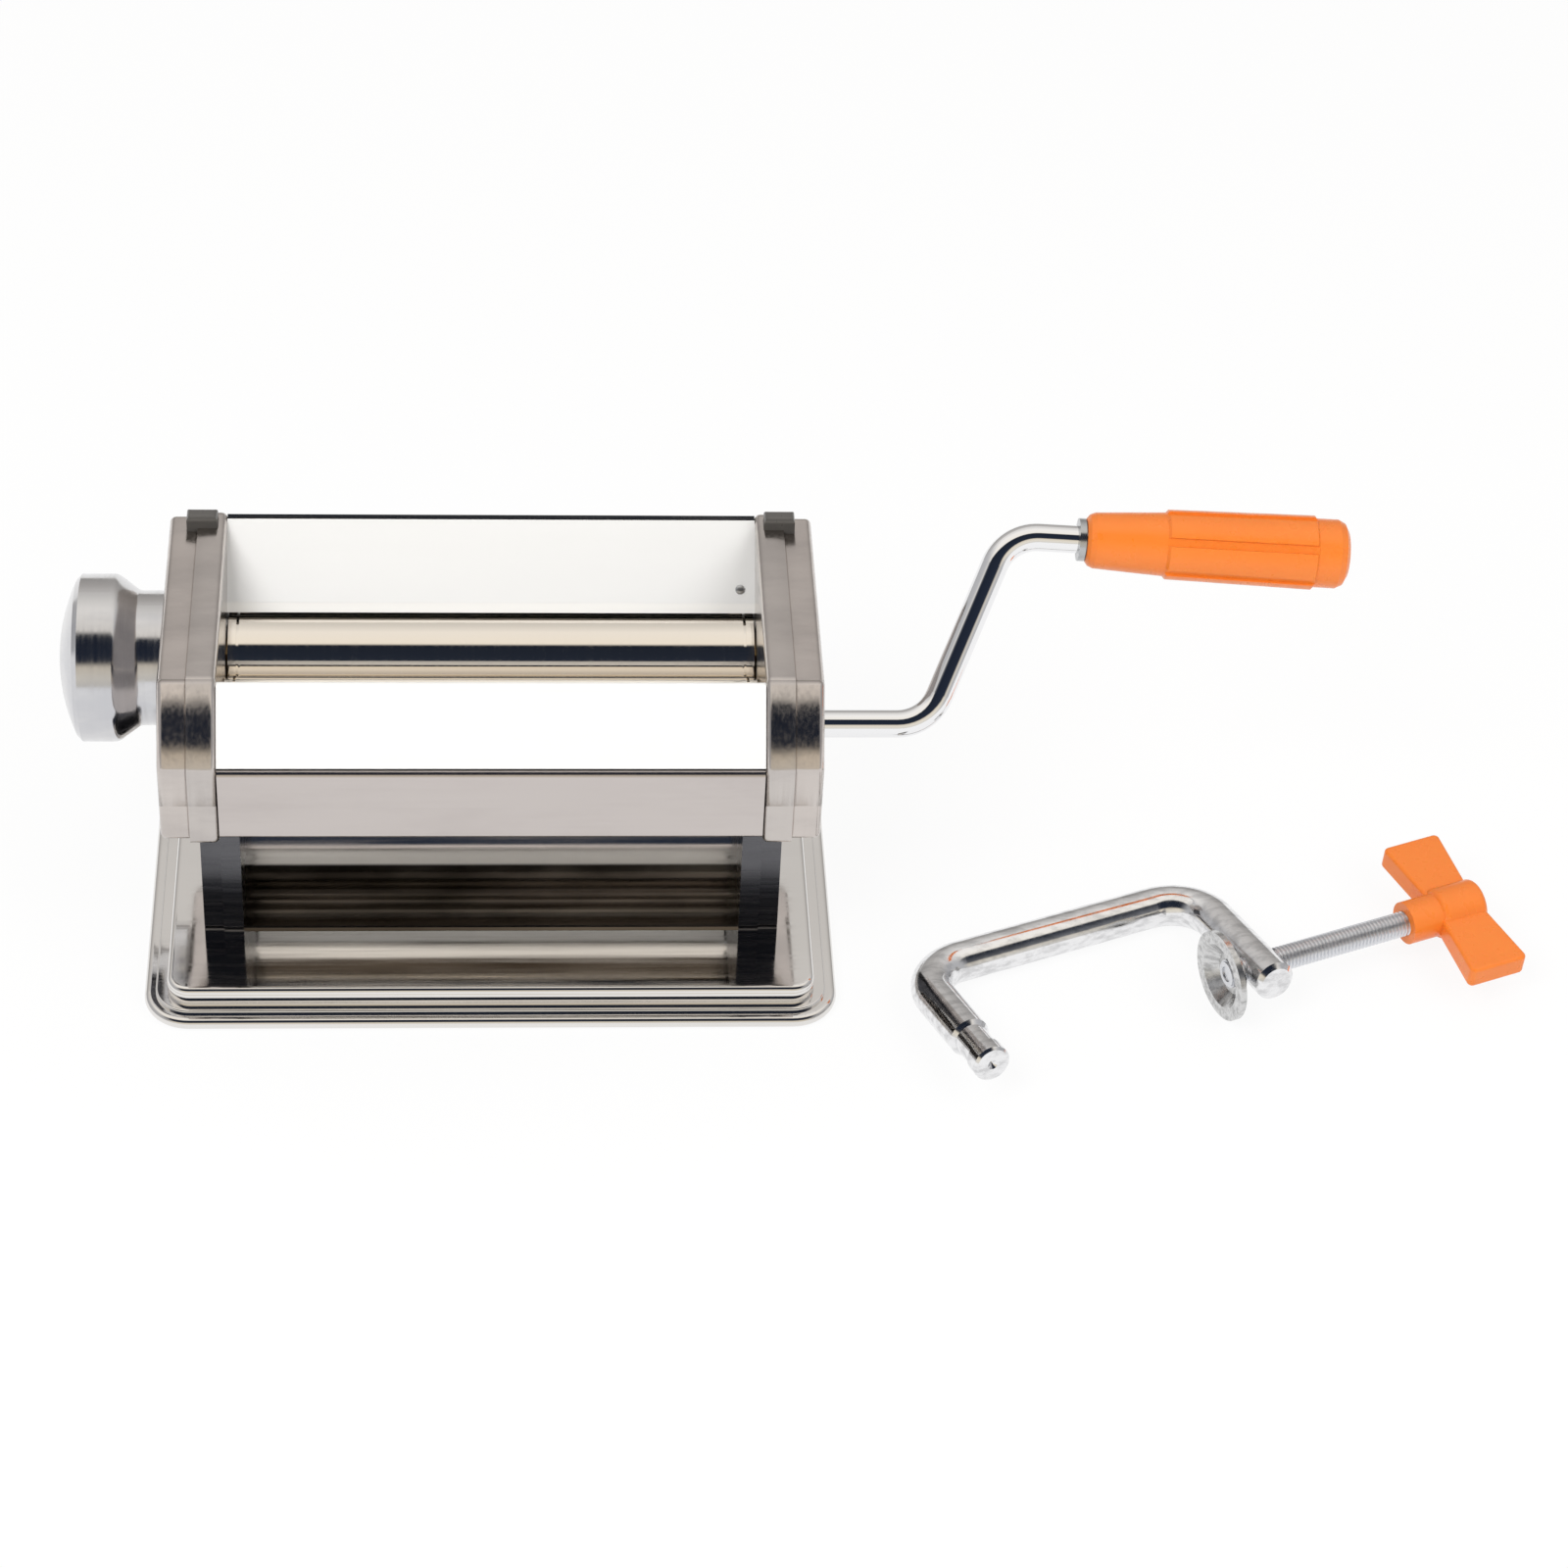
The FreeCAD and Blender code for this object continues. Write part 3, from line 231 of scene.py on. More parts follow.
CHAMFER_BOW = Bow(low=(-61.5 * MM, 87.6 * MM), high=(-38.0 * MM, 116.6 * MM), rise=4.5 * MM)
CHUTE_BOW = Bow(low=(-30.5 * MM, 10.5 * MM), high=(2.0 * MM, 29.0 * MM), rise=-4.0 * MM)
BASE_BOW = Bow(low=(0.0, 5.2 * MM), high=(0.0, 8.7 * MM), rise=0.45 * MM)
FRAME_CROWN = Crown(middle=84.2 * MM, half=4.4 * MM, rise=0.55 * MM)
COVER_CROWN = Crown(middle=92.9 * MM, half=4.4 * MM, rise=0.55 * MM)
# Painted reflection on the chute: a brownish foot and a near-black band stand in for what the fold mirrors,
# the chute's own light colour follows, and painted dark covers the hidden part above, which the base
# mirrors.
CHUTE_PAINTED_REFLECTION = PaintedReflection(foot=(0.22, 0.175, 0.14), band=(0.014, 0.012, 0.01), foot_top=15.0 * MM,
                    band_top=20.4 * MM, upper=(0.05, 0.036, 0.024), own_top=31.0 * MM, soft=0.6 * MM)

# Painted sheen: near-white, hardly metallic colours stand in for the bright look of the polished front panel
# and hopper.
PANEL = Finish("panel_painted_white_sheen", (0.97, 0.97, 0.965), metallic=0.15, roughness=0.2, cloud=0.05,
               stain=(0.85, 0.85, 0.84), coat=0.2)
HOPPER = Finish("hopper_painted_white_sheen", (0.96, 0.96, 0.95), metallic=0.15, roughness=0.2, cloud=0.15,
                stain=(0.84, 0.85, 0.83), cloud_scale=14.0, coat=0.2)
SKIRT = Finish("skirt_satin", (0.58, 0.535, 0.515), roughness=0.2, cloud=0.5, stain=(0.47, 0.43, 0.415),
               cloud_scale=30.0)
HOUSING = Finish("housing_pressed", (0.58, 0.54, 0.515), roughness=0.2, rough_spread=0.07,
                 grain=Grain.UPRIGHT, cloud=0.4, stain=(0.4, 0.375, 0.365), cloud_scale=60.0,
                 bow=CHAMFER_BOW, crown=FRAME_CROWN, wave=0.3 * MM)
COVER = Finish("cover_pressed", (0.61, 0.56, 0.53), roughness=0.2, rough_spread=0.07,
               grain=Grain.UPRIGHT, cloud=0.4, stain=(0.42, 0.39, 0.375), cloud_scale=60.0,
               bow=CHAMFER_BOW, crown=COVER_CROWN, wave=0.3 * MM)
LEG = Finish("leg_dark_sheet", (0.13, 0.13, 0.14), roughness=0.26, cloud=0.4, stain=(0.06, 0.06, 0.07))
# The chute's colour carries painted reflection bands that change with height.
CHUTE = Finish("chute_mirror", (0.95, 0.91, 0.87), roughness=0.12, cloud=0.25, stain=(0.5, 0.44, 0.38),
               cloud_scale=18.0, bow=CHUTE_BOW, shade=CHUTE_PAINTED_REFLECTION)
BASE = Finish("base_mirror", (0.78, 0.76, 0.74), roughness=0.07, rough_spread=0.04, cloud=0.12,
              stain=(0.55, 0.54, 0.52), bow=BASE_BOW)
BACK_SHEET = Finish("back_sheet", (0.45, 0.44, 0.43), roughness=0.16, cloud=0.15)
ROLLER = Finish("roller_ground", (0.82, 0.765, 0.69), roughness=0.075, rough_spread=0.04,
                grain=Grain.ROUND_ROLLERS)
MACHINED = Finish("machined_steel", (0.5, 0.51, 0.52), roughness=0.28, rough_spread=0.1, grain_scale=500.0)
BRONZE = Finish("sintered_bronze", (0.58, 0.4, 0.2), roughness=0.38, grain=Grain.NONE)
BLADE = Finish("scraper_white", (0.8, 0.8, 0.78), metallic=0.0, roughness=0.45, grain=Grain.NONE)
BLACKENED = Finish("lug_blackened", (0.085, 0.08, 0.075), metallic=0.0, roughness=0.32, grain=Grain.NONE,
                   coat=0.2)
ALUMINIUM = Finish("knob_turned", (0.68, 0.675, 0.68), roughness=0.16, rough_spread=0.07,
                   grain=Grain.ROUND_ROLLERS, grain_scale=700.0, cloud=0.45, stain=(0.44, 0.45, 0.5))
CHROME = Finish("bar_chrome", (0.86, 0.86, 0.87), roughness=0.05, rough_spread=0.03, grain=Grain.NONE,
                grain_scale=300.0)
CLAMP_CHROME = Finish("clamp_chrome", (0.84, 0.84, 0.85), roughness=0.13, rough_spread=0.05,
                      grain=Grain.NONE, grain_scale=600.0, cloud=0.45, stain=(0.36, 0.36, 0.37),
                      cloud_scale=420.0)
ZINC = Finish("screw_zinc", (0.74, 0.75, 0.78), roughness=0.36, grain=Grain.NONE, grain_scale=400.0)
PAD_ZINC = Finish("pad_zinc", (0.66, 0.66, 0.66), roughness=0.26, grain=Grain.NONE, grain_scale=400.0,
                  cloud=0.7, stain=(0.3, 0.3, 0.3), cloud_scale=600.0)
ORANGE = Finish("orange_moulding", (0.83, 0.213, 0.026), metallic=0.0, roughness=0.3, rough_spread=0.06,
                grain=Grain.NONE, grain_scale=220.0, cloud=0.25, stain=(0.74, 0.175, 0.018),
                bump=0.02 * MM, scatter=0.08)
RUBBER = Finish("foot_rubber", (0.02, 0.02, 0.02), metallic=0.0, roughness=0.7, grain=Grain.NONE)


def feed(tree: Tree, socket: Socket, value: object) -> None:
    """Gives a socket its value.

    Args:
        tree: Node tree that holds the socket.
        socket: The socket to feed.
        value: Another socket to link, or a plain value to set.
    """
    if isinstance(value, Socket):
        tree.links.new(value, socket)
    else:
        socket.default_value = value


def maths(tree: Tree, operation: str, *given: Socket | float) -> Socket:
    """Works out one sum with a maths node.

    Args:
        tree: Node tree to add to.
        operation: What the node works out.
        given: Its inputs in order.

    Returns:
        The socket with the result.
    """
    node = tree.nodes.new("ShaderNodeMath")
    node.operation = operation
    for socket, value in zip(node.inputs, given):
        feed(tree, socket, value)
    return node.outputs[0]


def smooth_turn(tree: Tree, value: Socket, low: Socket | float, high: Socket | float) -> Socket:
    """Turns from 0 to 1 with soft ends while a value goes from low to high.

    Args:
        tree: Node tree to add to.
        value: The value that changes.
        low: Where the turn starts.
        high: Where it ends.

    Returns:
        The socket with the result.
    """
    node = tree.nodes.new("ShaderNodeMapRange")
    node.interpolation_type = "SMOOTHSTEP"
    feed(tree, node.inputs["Value"], value)
    feed(tree, node.inputs["From Min"], low)
    feed(tree, node.inputs["From Max"], high)
    return node.outputs["Result"]


def blend(tree: Tree, share: Socket, first: Socket, second: Socket | tuple[float, ...]) -> Socket:
    """Mixes two colours.

    Args:
        tree: Node tree to add to.
        share: Share of the second colour.
        first: The first colour.
        second: The second colour.

    Returns:
        The socket with the mixed colour.
    """
    node = tree.nodes.new("ShaderNodeMix")
    node.data_type = "RGBA"
    feed(tree, node.inputs["Factor"], share)
    feed(tree, node.inputs["A"], first)
    feed(tree, node.inputs["B"], second)
    return node.outputs["Result"]


class EffectGroups:
    """Shader node groups that several finishes share."""

    MARK_DETAIL = 3.0
    MARK_RANGE = (0.3, 0.7)
    CLOUD_STRETCH = (0.35, 1.0, 1.0)
    CLOUD_DETAIL = 5.0
    CLOUD_ROUGHNESS = 0.6
    CLOUD_RANGE = (0.4, 0.68)
    SWELL_DETAIL = 1.0

    @staticmethod
    def _new(name: str, inputs: dict[str, Kind], outputs: dict[str, Kind]) -> tuple[Tree, Node, Node]:
        """A new node group with its sockets.

        Args:
            name: Name of the group.
            inputs: Name and kind of each input.
            outputs: Name and kind of each output.

        Returns:
            The tree with its input and output nodes.
        """
        tree = bpy.data.node_groups.new(name, "ShaderNodeTree")
        for way, sockets in (("INPUT", inputs), ("OUTPUT", outputs)):
            for label, kind in sockets.items():
                tree.interface.new_socket(label, in_out=way, socket_type=kind.value)
        return tree, tree.nodes.new("NodeGroupInput"), tree.nodes.new("NodeGroupOutput")

    @staticmethod
    def _place(tree: Tree) -> Socket:
        """The socket that gives a point's place in its piece."""
        return tree.nodes.new("ShaderNodeTexCoord").outputs["Object"]

    @staticmethod
    def _noise(tree: Tree, place: Socket, scale: Socket, detail: float) -> Node:
        """A noise pattern.

        Args:
            tree: Node tree to add to.
            place: Coordinates that the pattern is laid on.
            scale: Its scale.
            detail: How many finer layers it has.

        Returns:
            The noise node.
        """
        noise = tree.nodes.new("ShaderNodeTexNoise")
        noise.inputs["Detail"].default_value = detail
        tree.links.new(place, noise.inputs["Vector"])
        tree.links.new(scale, noise.inputs["Scale"])
        return noise

    def _stretched(self, tree: Tree, stretch: Socket | Colour) -> Socket:
        """A point's place with each coordinate multiplied.

        Args:
            tree: Node tree to add to.
            stretch: What each coordinate is multiplied by.

        Returns:
            The socket with the stretched place.
        """
        node = tree.nodes.new("ShaderNodeVectorMath")
        node.operation = "MULTIPLY"
        feed(tree, node.inputs[0], self._place(tree))
        feed(tree, node.inputs[1], stretch)
        return node.outputs[0]

    @staticmethod
    def _dome_drop(tree: Tree, at: Socket, middle: Socket, half: Socket, rise: Socket) -> Socket:
        """How far a dome has fallen from its top.

        The drop is the rise times the square of the distance from the middle over the half width. It
        stays level past the edges.

        Args:
            tree: Node tree to add to.
            at: Place across the dome.
            middle: Place of the dome's top.
            half: Half of the dome's width.
            rise: Height of the dome.

        Returns:
            The socket with the drop.
        """
        share = maths(tree, "DIVIDE", maths(tree, "SUBTRACT", at, middle), half)
        level = maths(tree, "MINIMUM", maths(tree, "MULTIPLY", share, share), 1.0)
        return maths(tree, "MULTIPLY", level, rise)

    def polish_marks(self) -> Tree:
        """Fine marks along the grain.

        Returns:
            A group that gives a roughness and a bumped normal.
        """
        tree, given, out = self._new(
            "polish_marks",
            {"Stretch": Kind.VECTOR, "Scale": Kind.VALUE, "Low": Kind.VALUE, "High": Kind.VALUE,
             "Height": Kind.VALUE},
            {"Roughness": Kind.VALUE, "Normal": Kind.VECTOR},
        )
        place = self._stretched(tree, given.outputs["Stretch"])
        noise = self._noise(tree, place, given.outputs["Scale"], self.MARK_DETAIL).outputs["Fac"]
        spread = tree.nodes.new("ShaderNodeMapRange")
        feed(tree, spread.inputs["Value"], noise)
        feed(tree, spread.inputs["From Min"], self.MARK_RANGE[0])
        feed(tree, spread.inputs["From Max"], self.MARK_RANGE[1])
        feed(tree, spread.inputs["To Min"], given.outputs["Low"])
        feed(tree, spread.inputs["To Max"], given.outputs["High"])
        bump = tree.nodes.new("ShaderNodeBump")
        feed(tree, bump.inputs["Strength"], 1.0)
        feed(tree, bump.inputs["Height"], noise)
        feed(tree, bump.inputs["Distance"], given.outputs["Height"])
        feed(tree, out.inputs["Roughness"], spread.outputs["Result"])
        feed(tree, out.inputs["Normal"], bump.outputs["Normal"])
        return tree

    def cloudy_stain(self) -> Tree:
        """Soft clouds of a second colour, drawn out along the rollers.

        Returns:
            A group that gives the colour.
        """
        tree, given, out = self._new(
            "cloudy_stain",
            {"Clean": Kind.COLOUR, "Stain": Kind.COLOUR, "Amount": Kind.VALUE, "Scale": Kind.VALUE},
            {"Colour": Kind.COLOUR},
        )
        place = self._stretched(tree, self.CLOUD_STRETCH)
        noise = self._noise(tree, place, given.outputs["Scale"], self.CLOUD_DETAIL)
        noise.inputs["Roughness"].default_value = self.CLOUD_ROUGHNESS
        edge = smooth_turn(tree, noise.outputs["Fac"], *self.CLOUD_RANGE)
        share = maths(tree, "MULTIPLY", edge, given.outputs["Amount"])
        feed(tree, out.inputs["Colour"], blend(tree, share, given.outputs["Clean"], given.outputs["Stain"]))
        return tree

    def pressed_bow(self) -> Tree:
        """Slight bow, crown and swells that pressing gives a flat facet.

        The bow is a dome along Slope and the crown is one along the rollers, on both sides of the
        machine. Faces beyond a dome's edges keep their own normal. Noise adds the swells.

        Returns:
            A group that gives the bowed normal.
        """
        tree, given, out = self._new(
            "pressed_bow",
            {"Slope": Kind.VECTOR, "Middle": Kind.VALUE, "Reach": Kind.VALUE, "Rise": Kind.VALUE,
             "Wave": Kind.VALUE, "Wave Scale": Kind.VALUE, "Crown Middle": Kind.VALUE,
             "Crown Half": Kind.VALUE, "Crown Rise": Kind.VALUE},
            {"Normal": Kind.VECTOR},
        )
        place = self._place(tree)
        along = tree.nodes.new("ShaderNodeVectorMath")
        along.operation = "DOT_PRODUCT"
        feed(tree, along.inputs[0], place)
        feed(tree, along.inputs[1], given.outputs["Slope"])
        bow = [given.outputs[name] for name in ("Middle", "Reach", "Rise")]
        drop = self._dome_drop(tree, along.outputs["Value"], *bow)
        parts = tree.nodes.new("ShaderNodeSeparateXYZ")
        feed(tree, parts.inputs[0], place)
        crown = [given.outputs[name] for name in ("Crown Middle", "Crown Half", "Crown Rise")]
        fall = self._dome_drop(tree, maths(tree, "ABSOLUTE", parts.outputs["X"]), *crown)
        noise = self._noise(tree, place, given.outputs["Wave Scale"], self.SWELL_DETAIL)
        swell = maths(tree, "MULTIPLY", noise.outputs["Fac"], given.outputs["Wave"])
        bump = tree.nodes.new("ShaderNodeBump")
        bump.invert = True
        feed(tree, bump.inputs["Strength"], 1.0)
        feed(tree, bump.inputs["Distance"], 1.0)
        feed(tree, bump.inputs["Height"], maths(tree, "ADD", maths(tree, "ADD", drop, swell), fall))
        feed(tree, out.inputs["Normal"], bump.outputs["Normal"])
        return tree

    def painted_reflection_by_height(self) -> Tree:
        """Painted reflection: four colours that take turns with height.

        Returns:
            A group that gives the colour.
        """
        tree, given, out = self._new(
            "painted_reflection_by_height",
            {"Foot": Kind.COLOUR, "Band": Kind.COLOUR, "Own": Kind.COLOUR, "Upper": Kind.COLOUR,
             "Foot From": Kind.VALUE, "Foot Top": Kind.VALUE, "Band From": Kind.VALUE,
             "Band Top": Kind.VALUE, "Own From": Kind.VALUE, "Own Top": Kind.VALUE},
            {"Colour": Kind.COLOUR},
        )
        parts = tree.nodes.new("ShaderNodeSeparateXYZ")
        feed(tree, parts.inputs[0], self._place(tree))
        colour = given.outputs["Foot"]
        for below, above in (("Foot", "Band"), ("Band", "Own"), ("Own", "Upper")):
            start, end = given.outputs[f"{below} From"], given.outputs[f"{below} Top"]
            turn = smooth_turn(tree, parts.outputs["Z"], start, end)
            colour = blend(tree, turn, colour, given.outputs[above])
        feed(tree, out.inputs["Colour"], colour)
        return tree


class FinishShop:
    """Makes each finish's material once and puts it on pieces."""

    SCATTER_SCALE = 1.5 * MM
    LEAST_ROUGHNESS = 0.02

    def __init__(self) -> None:
        """Makes the node groups that the finishes share."""
        groups = EffectGroups()
        self.marks = groups.polish_marks()
        self.stain = groups.cloudy_stain()
        self.bow = groups.pressed_bow()
        self.shade = groups.painted_reflection_by_height()
        self.made: dict[str, bpy.types.Material] = {}

    def material(self, finish: Finish) -> bpy.types.Material:
        """The material of a finish.

        Args:
            finish: The finish to make.

        Returns:
            The material, new or made before.
        """
        if finish.name in self.made:
            return self.made[finish.name]
        material = bpy.data.materials.new(finish.name)
        material.use_nodes = True
        tree = material.node_tree
        shader = tree.nodes["Principled BSDF"]
        shader.inputs["Base Color"].default_value = (*finish.colour, 1.0)
        shader.inputs["Metallic"].default_value = finish.metallic
        shader.inputs["Coat Weight"].default_value = finish.coat
        if finish.scatter:
            shader.inputs["Subsurface Weight"].default_value = finish.scatter
            shader.inputs["Subsurface Scale"].default_value = self.SCATTER_SCALE
        self._add_marks(tree, shader, finish)
        if finish.cloud:
            self._add_stain(tree, shader, finish)
        if finish.bow:
            self._add_bow(tree, shader, finish, finish.bow)
        self.made[finish.name] = material
        LOG.info("finish %s", finish.name)
        return material

    @staticmethod
    def _group(tree: Tree, group: Tree, values: dict[str, object]) -> Node:
        """Places a shared group in a material.

        Args:
            tree: The material's node tree.
            group: The group to place.
            values: What each of its inputs is fed with.

        Returns:
            The placed group.
        """
        node = tree.nodes.new("ShaderNodeGroup")
        node.node_tree = group
        for name, value in values.items():
            feed(tree, node.inputs[name], value)
        return node

    def _add_marks(self, tree: Tree, shader: Node, finish: Finish) -> None:
        """Links the polishing marks to a shader.

        Args:
            tree: The material's node tree.
            shader: Its shader.
            finish: The finish that is made.
        """
        marks = self._group(tree, self.marks, {
            "Stretch": finish.grain.value,
            "Scale": finish.grain_scale,
            "Low": max(self.LEAST_ROUGHNESS, finish.roughness - finish.rough_spread),
            "High": finish.roughness + finish.rough_spread,
            "Height": finish.bump,
        })
        feed(tree, shader.inputs["Roughness"], marks.outputs["Roughness"])
        if finish.bump:
            feed(tree, shader.inputs["Normal"], marks.outputs["Normal"])

    def _add_stain(self, tree: Tree, shader: Node, finish: Finish) -> None:
        """Links the cloudy stain to a shader.

        Args:
            tree: The material's node tree.
            shader: Its shader.
            finish: The finish that is made.
        """
        clean = (*finish.colour, 1.0)
        # Where a finish has them, the clean colour takes the painted reflection bands.
        if finish.shade:
            clean = self._add_painted_reflection(tree, finish.colour, finish.shade)
        stain = self._group(tree, self.stain, {
            "Clean": clean,
            "Stain": (*finish.stain, 1.0),
            "Amount": finish.cloud,
            "Scale": finish.cloud_scale,
        })
        feed(tree, shader.inputs["Base Color"], stain.outputs["Colour"])

    def _add_painted_reflection(self, tree: Tree, own: Colour, shade: PaintedReflection) -> Socket:
        """Adds painted reflection: colours that change with height.

        Args:
            tree: The material's node tree.
            own: The finish's own colour, between the band and the upper colour.
            shade: The other painted colours and the heights.

        Returns:
            The socket that gives the colour.
        """
        shaded = self._group(tree, self.shade, {
            "Foot": (*shade.foot, 1.0),
            "Band": (*shade.band, 1.0),
            "Own": (*own, 1.0),
            "Upper": (*shade.upper, 1.0),
            "Foot From": 0.0,
            "Foot Top": shade.foot_top,
            "Band From": shade.band_top - shade.soft,
            "Band Top": shade.band_top,
            "Own From": shade.own_top - shade.soft,
            "Own Top": shade.own_top,
        })
        return shaded.outputs["Colour"]

    def _add_bow(self, tree: Tree, shader: Node, finish: Finish, bow: Bow) -> None:
        """Links a bowed facet's normal to a shader.

        Args:
            tree: The material's node tree.
            shader: Its shader.
            finish: The finish that is made.
            bow: Its bowed facet.
        """
        bowed = self._group(tree, self.bow, {
            "Slope": bow.slope(),
            "Middle": bow.middle(),
            "Reach": bow.reach(),
            "Rise": bow.rise,
            "Wave": finish.wave,
            "Wave Scale": finish.wave_scale,
            "Crown Middle": finish.crown.middle,
            "Crown Half": finish.crown.half,
            "Crown Rise": finish.crown.rise,
        })
        feed(tree, shader.inputs["Normal"], bowed.outputs["Normal"])

    def put(self, obj: bpy.types.Object, finish: Finish) -> None:
        """Gives a piece its one material.

        Args:
            obj: The piece.
            finish: The finish that it gets.
        """
        obj.data.materials.clear()
        obj.data.materials.append(self.material(finish))


@dataclass
class AxisFrame:
    """A place on an axis with two directions across it, for turned and threaded forms.

    Args:
        origin: Point on the axis.
        axis: Direction of the axis, of any length.
    """

    NEARLY_UPRIGHT = 0.9

    origin: np.ndarray
    axis: np.ndarray
    side: np.ndarray = field(init=False)
    other: np.ndarray = field(init=False)

    def __post_init__(self) -> None:
        """Makes the axis one unit long and finds two directions square to it and to each other."""
        self.axis = self.axis / np.linalg.norm(self.axis)
        upright = abs(self.axis[2]) >= self.NEARLY_UPRIGHT
        helper = np.array([0.0, 1.0, 0.0]) if upright else np.array([0.0, 0.0, 1.0])
        self.side = np.cross(helper, self.axis)
        self.side /= np.linalg.norm(self.side)
        self.other = np.cross(self.axis, self.side)

    def points(self, along: np.ndarray, radius: np.ndarray, turn: np.ndarray) -> np.ndarray:
        """Points from their places along, out from and round the axis.

        A point is the origin, plus its distance along the axis, plus its radius times the direction
        that the cosine of its angle on one side and the sine on the other give.

        Args:
            along: Distances along the axis.
            radius: Distances from it.
            turn: Angles round it.

        Returns:
            Points with the arrays' shape and a last dimension of three.
        """
        out = np.cos(turn)[..., None] * self.side + np.sin(turn)[..., None] * self.other
        return self.origin + along[..., None] * self.axis + radius[..., None] * out

    def measure(self, points: np.ndarray) -> tuple[np.ndarray, np.ndarray]:
        """Where points lie from this axis.

        Args:
            points: Points, one to a row.

        Returns:
            Their distances along the axis and from it.
        """
        away = points - self.origin
        along = away @ self.axis
        return along, np.linalg.norm(away - along[:, None] * self.axis, axis=1)


@dataclass
class GridSurface:
    """A closed surface from a grid of points that meets itself in its second direction.

    Args:
        name: Name of the piece.
        points: Points as rows by columns by three. The columns go round.
    """

    SHARP_ANGLE = math.radians(38.0)

    name: str
    points: np.ndarray

    def faces(self) -> np.ndarray:
        """Corner numbers of the grid's quads.

        A quad joins a point to the next in its row, where the last one joins the first, and both to
        the same places in the next row.

        Returns:
            One quad to a row.
        """
        rows, columns = self.points.shape[:2]
        row, column = np.meshgrid(np.arange(rows - 1), np.arange(columns), indexing="ij")
        after = (column + 1) % columns
        here = row * columns
        there = here + columns
        return np.stack([here + column, here + after, there + after, there + column], axis=-1).reshape(-1, 4)

    def build(self) -> bpy.types.Object:
        """Makes the piece, with its quads turned round where the volume that they close is negative.

        Returns:
            The new object, linked to the scene.
        """
        corners = self.points.reshape(-1, 3)
        quads = self.faces()
        a, b, c = (corners[quads[:, i]] for i in (0, 1, 2))
        if np.einsum("ij,ij->i", a, np.cross(b, c)).sum() < 0:
            quads = quads[:, ::-1]
        mesh = bpy.data.meshes.new(self.name)
        mesh.from_pydata(corners.tolist(), [], quads.tolist())
        mesh.polygons.foreach_set("use_smooth", np.ones(len(quads), dtype=bool))
        mesh.set_sharp_from_angle(angle=self.SHARP_ANGLE)
        mesh.update()
        obj = bpy.data.objects.new(self.name, mesh)
        bpy.context.scene.collection.objects.link(obj)
        LOG.info("piece %s with %d faces", self.name, len(quads))
        return obj


def node_points(frame: dict, node: str) -> np.ndarray:
    """Points of a solid at rest.

    Args:
        frame: The loaded frame.
        node: Name of the solid.

    Returns:
        Its points, one to a row.
    """
    mesh = frame["nodes"][node].data
    flat = np.empty(len(mesh.vertices) * 3, dtype=np.float32)
    mesh.vertices.foreach_get("co", flat)
    return flat.reshape(-1, 3).astype(float)


def joint_axis(frame: dict, name: str) -> AxisFrame:
    """The axis of a hinge.

    Args:
        frame: The loaded frame.
        name: Name of the joint.

    Returns:
        Its axis, with the joint's place as origin.
    """
    joint = next(j for j in frame["joints"] if j["name"] == name)
    return AxisFrame(np.array(joint["pos_m"], dtype=float), np.array(joint["axis"], dtype=float))


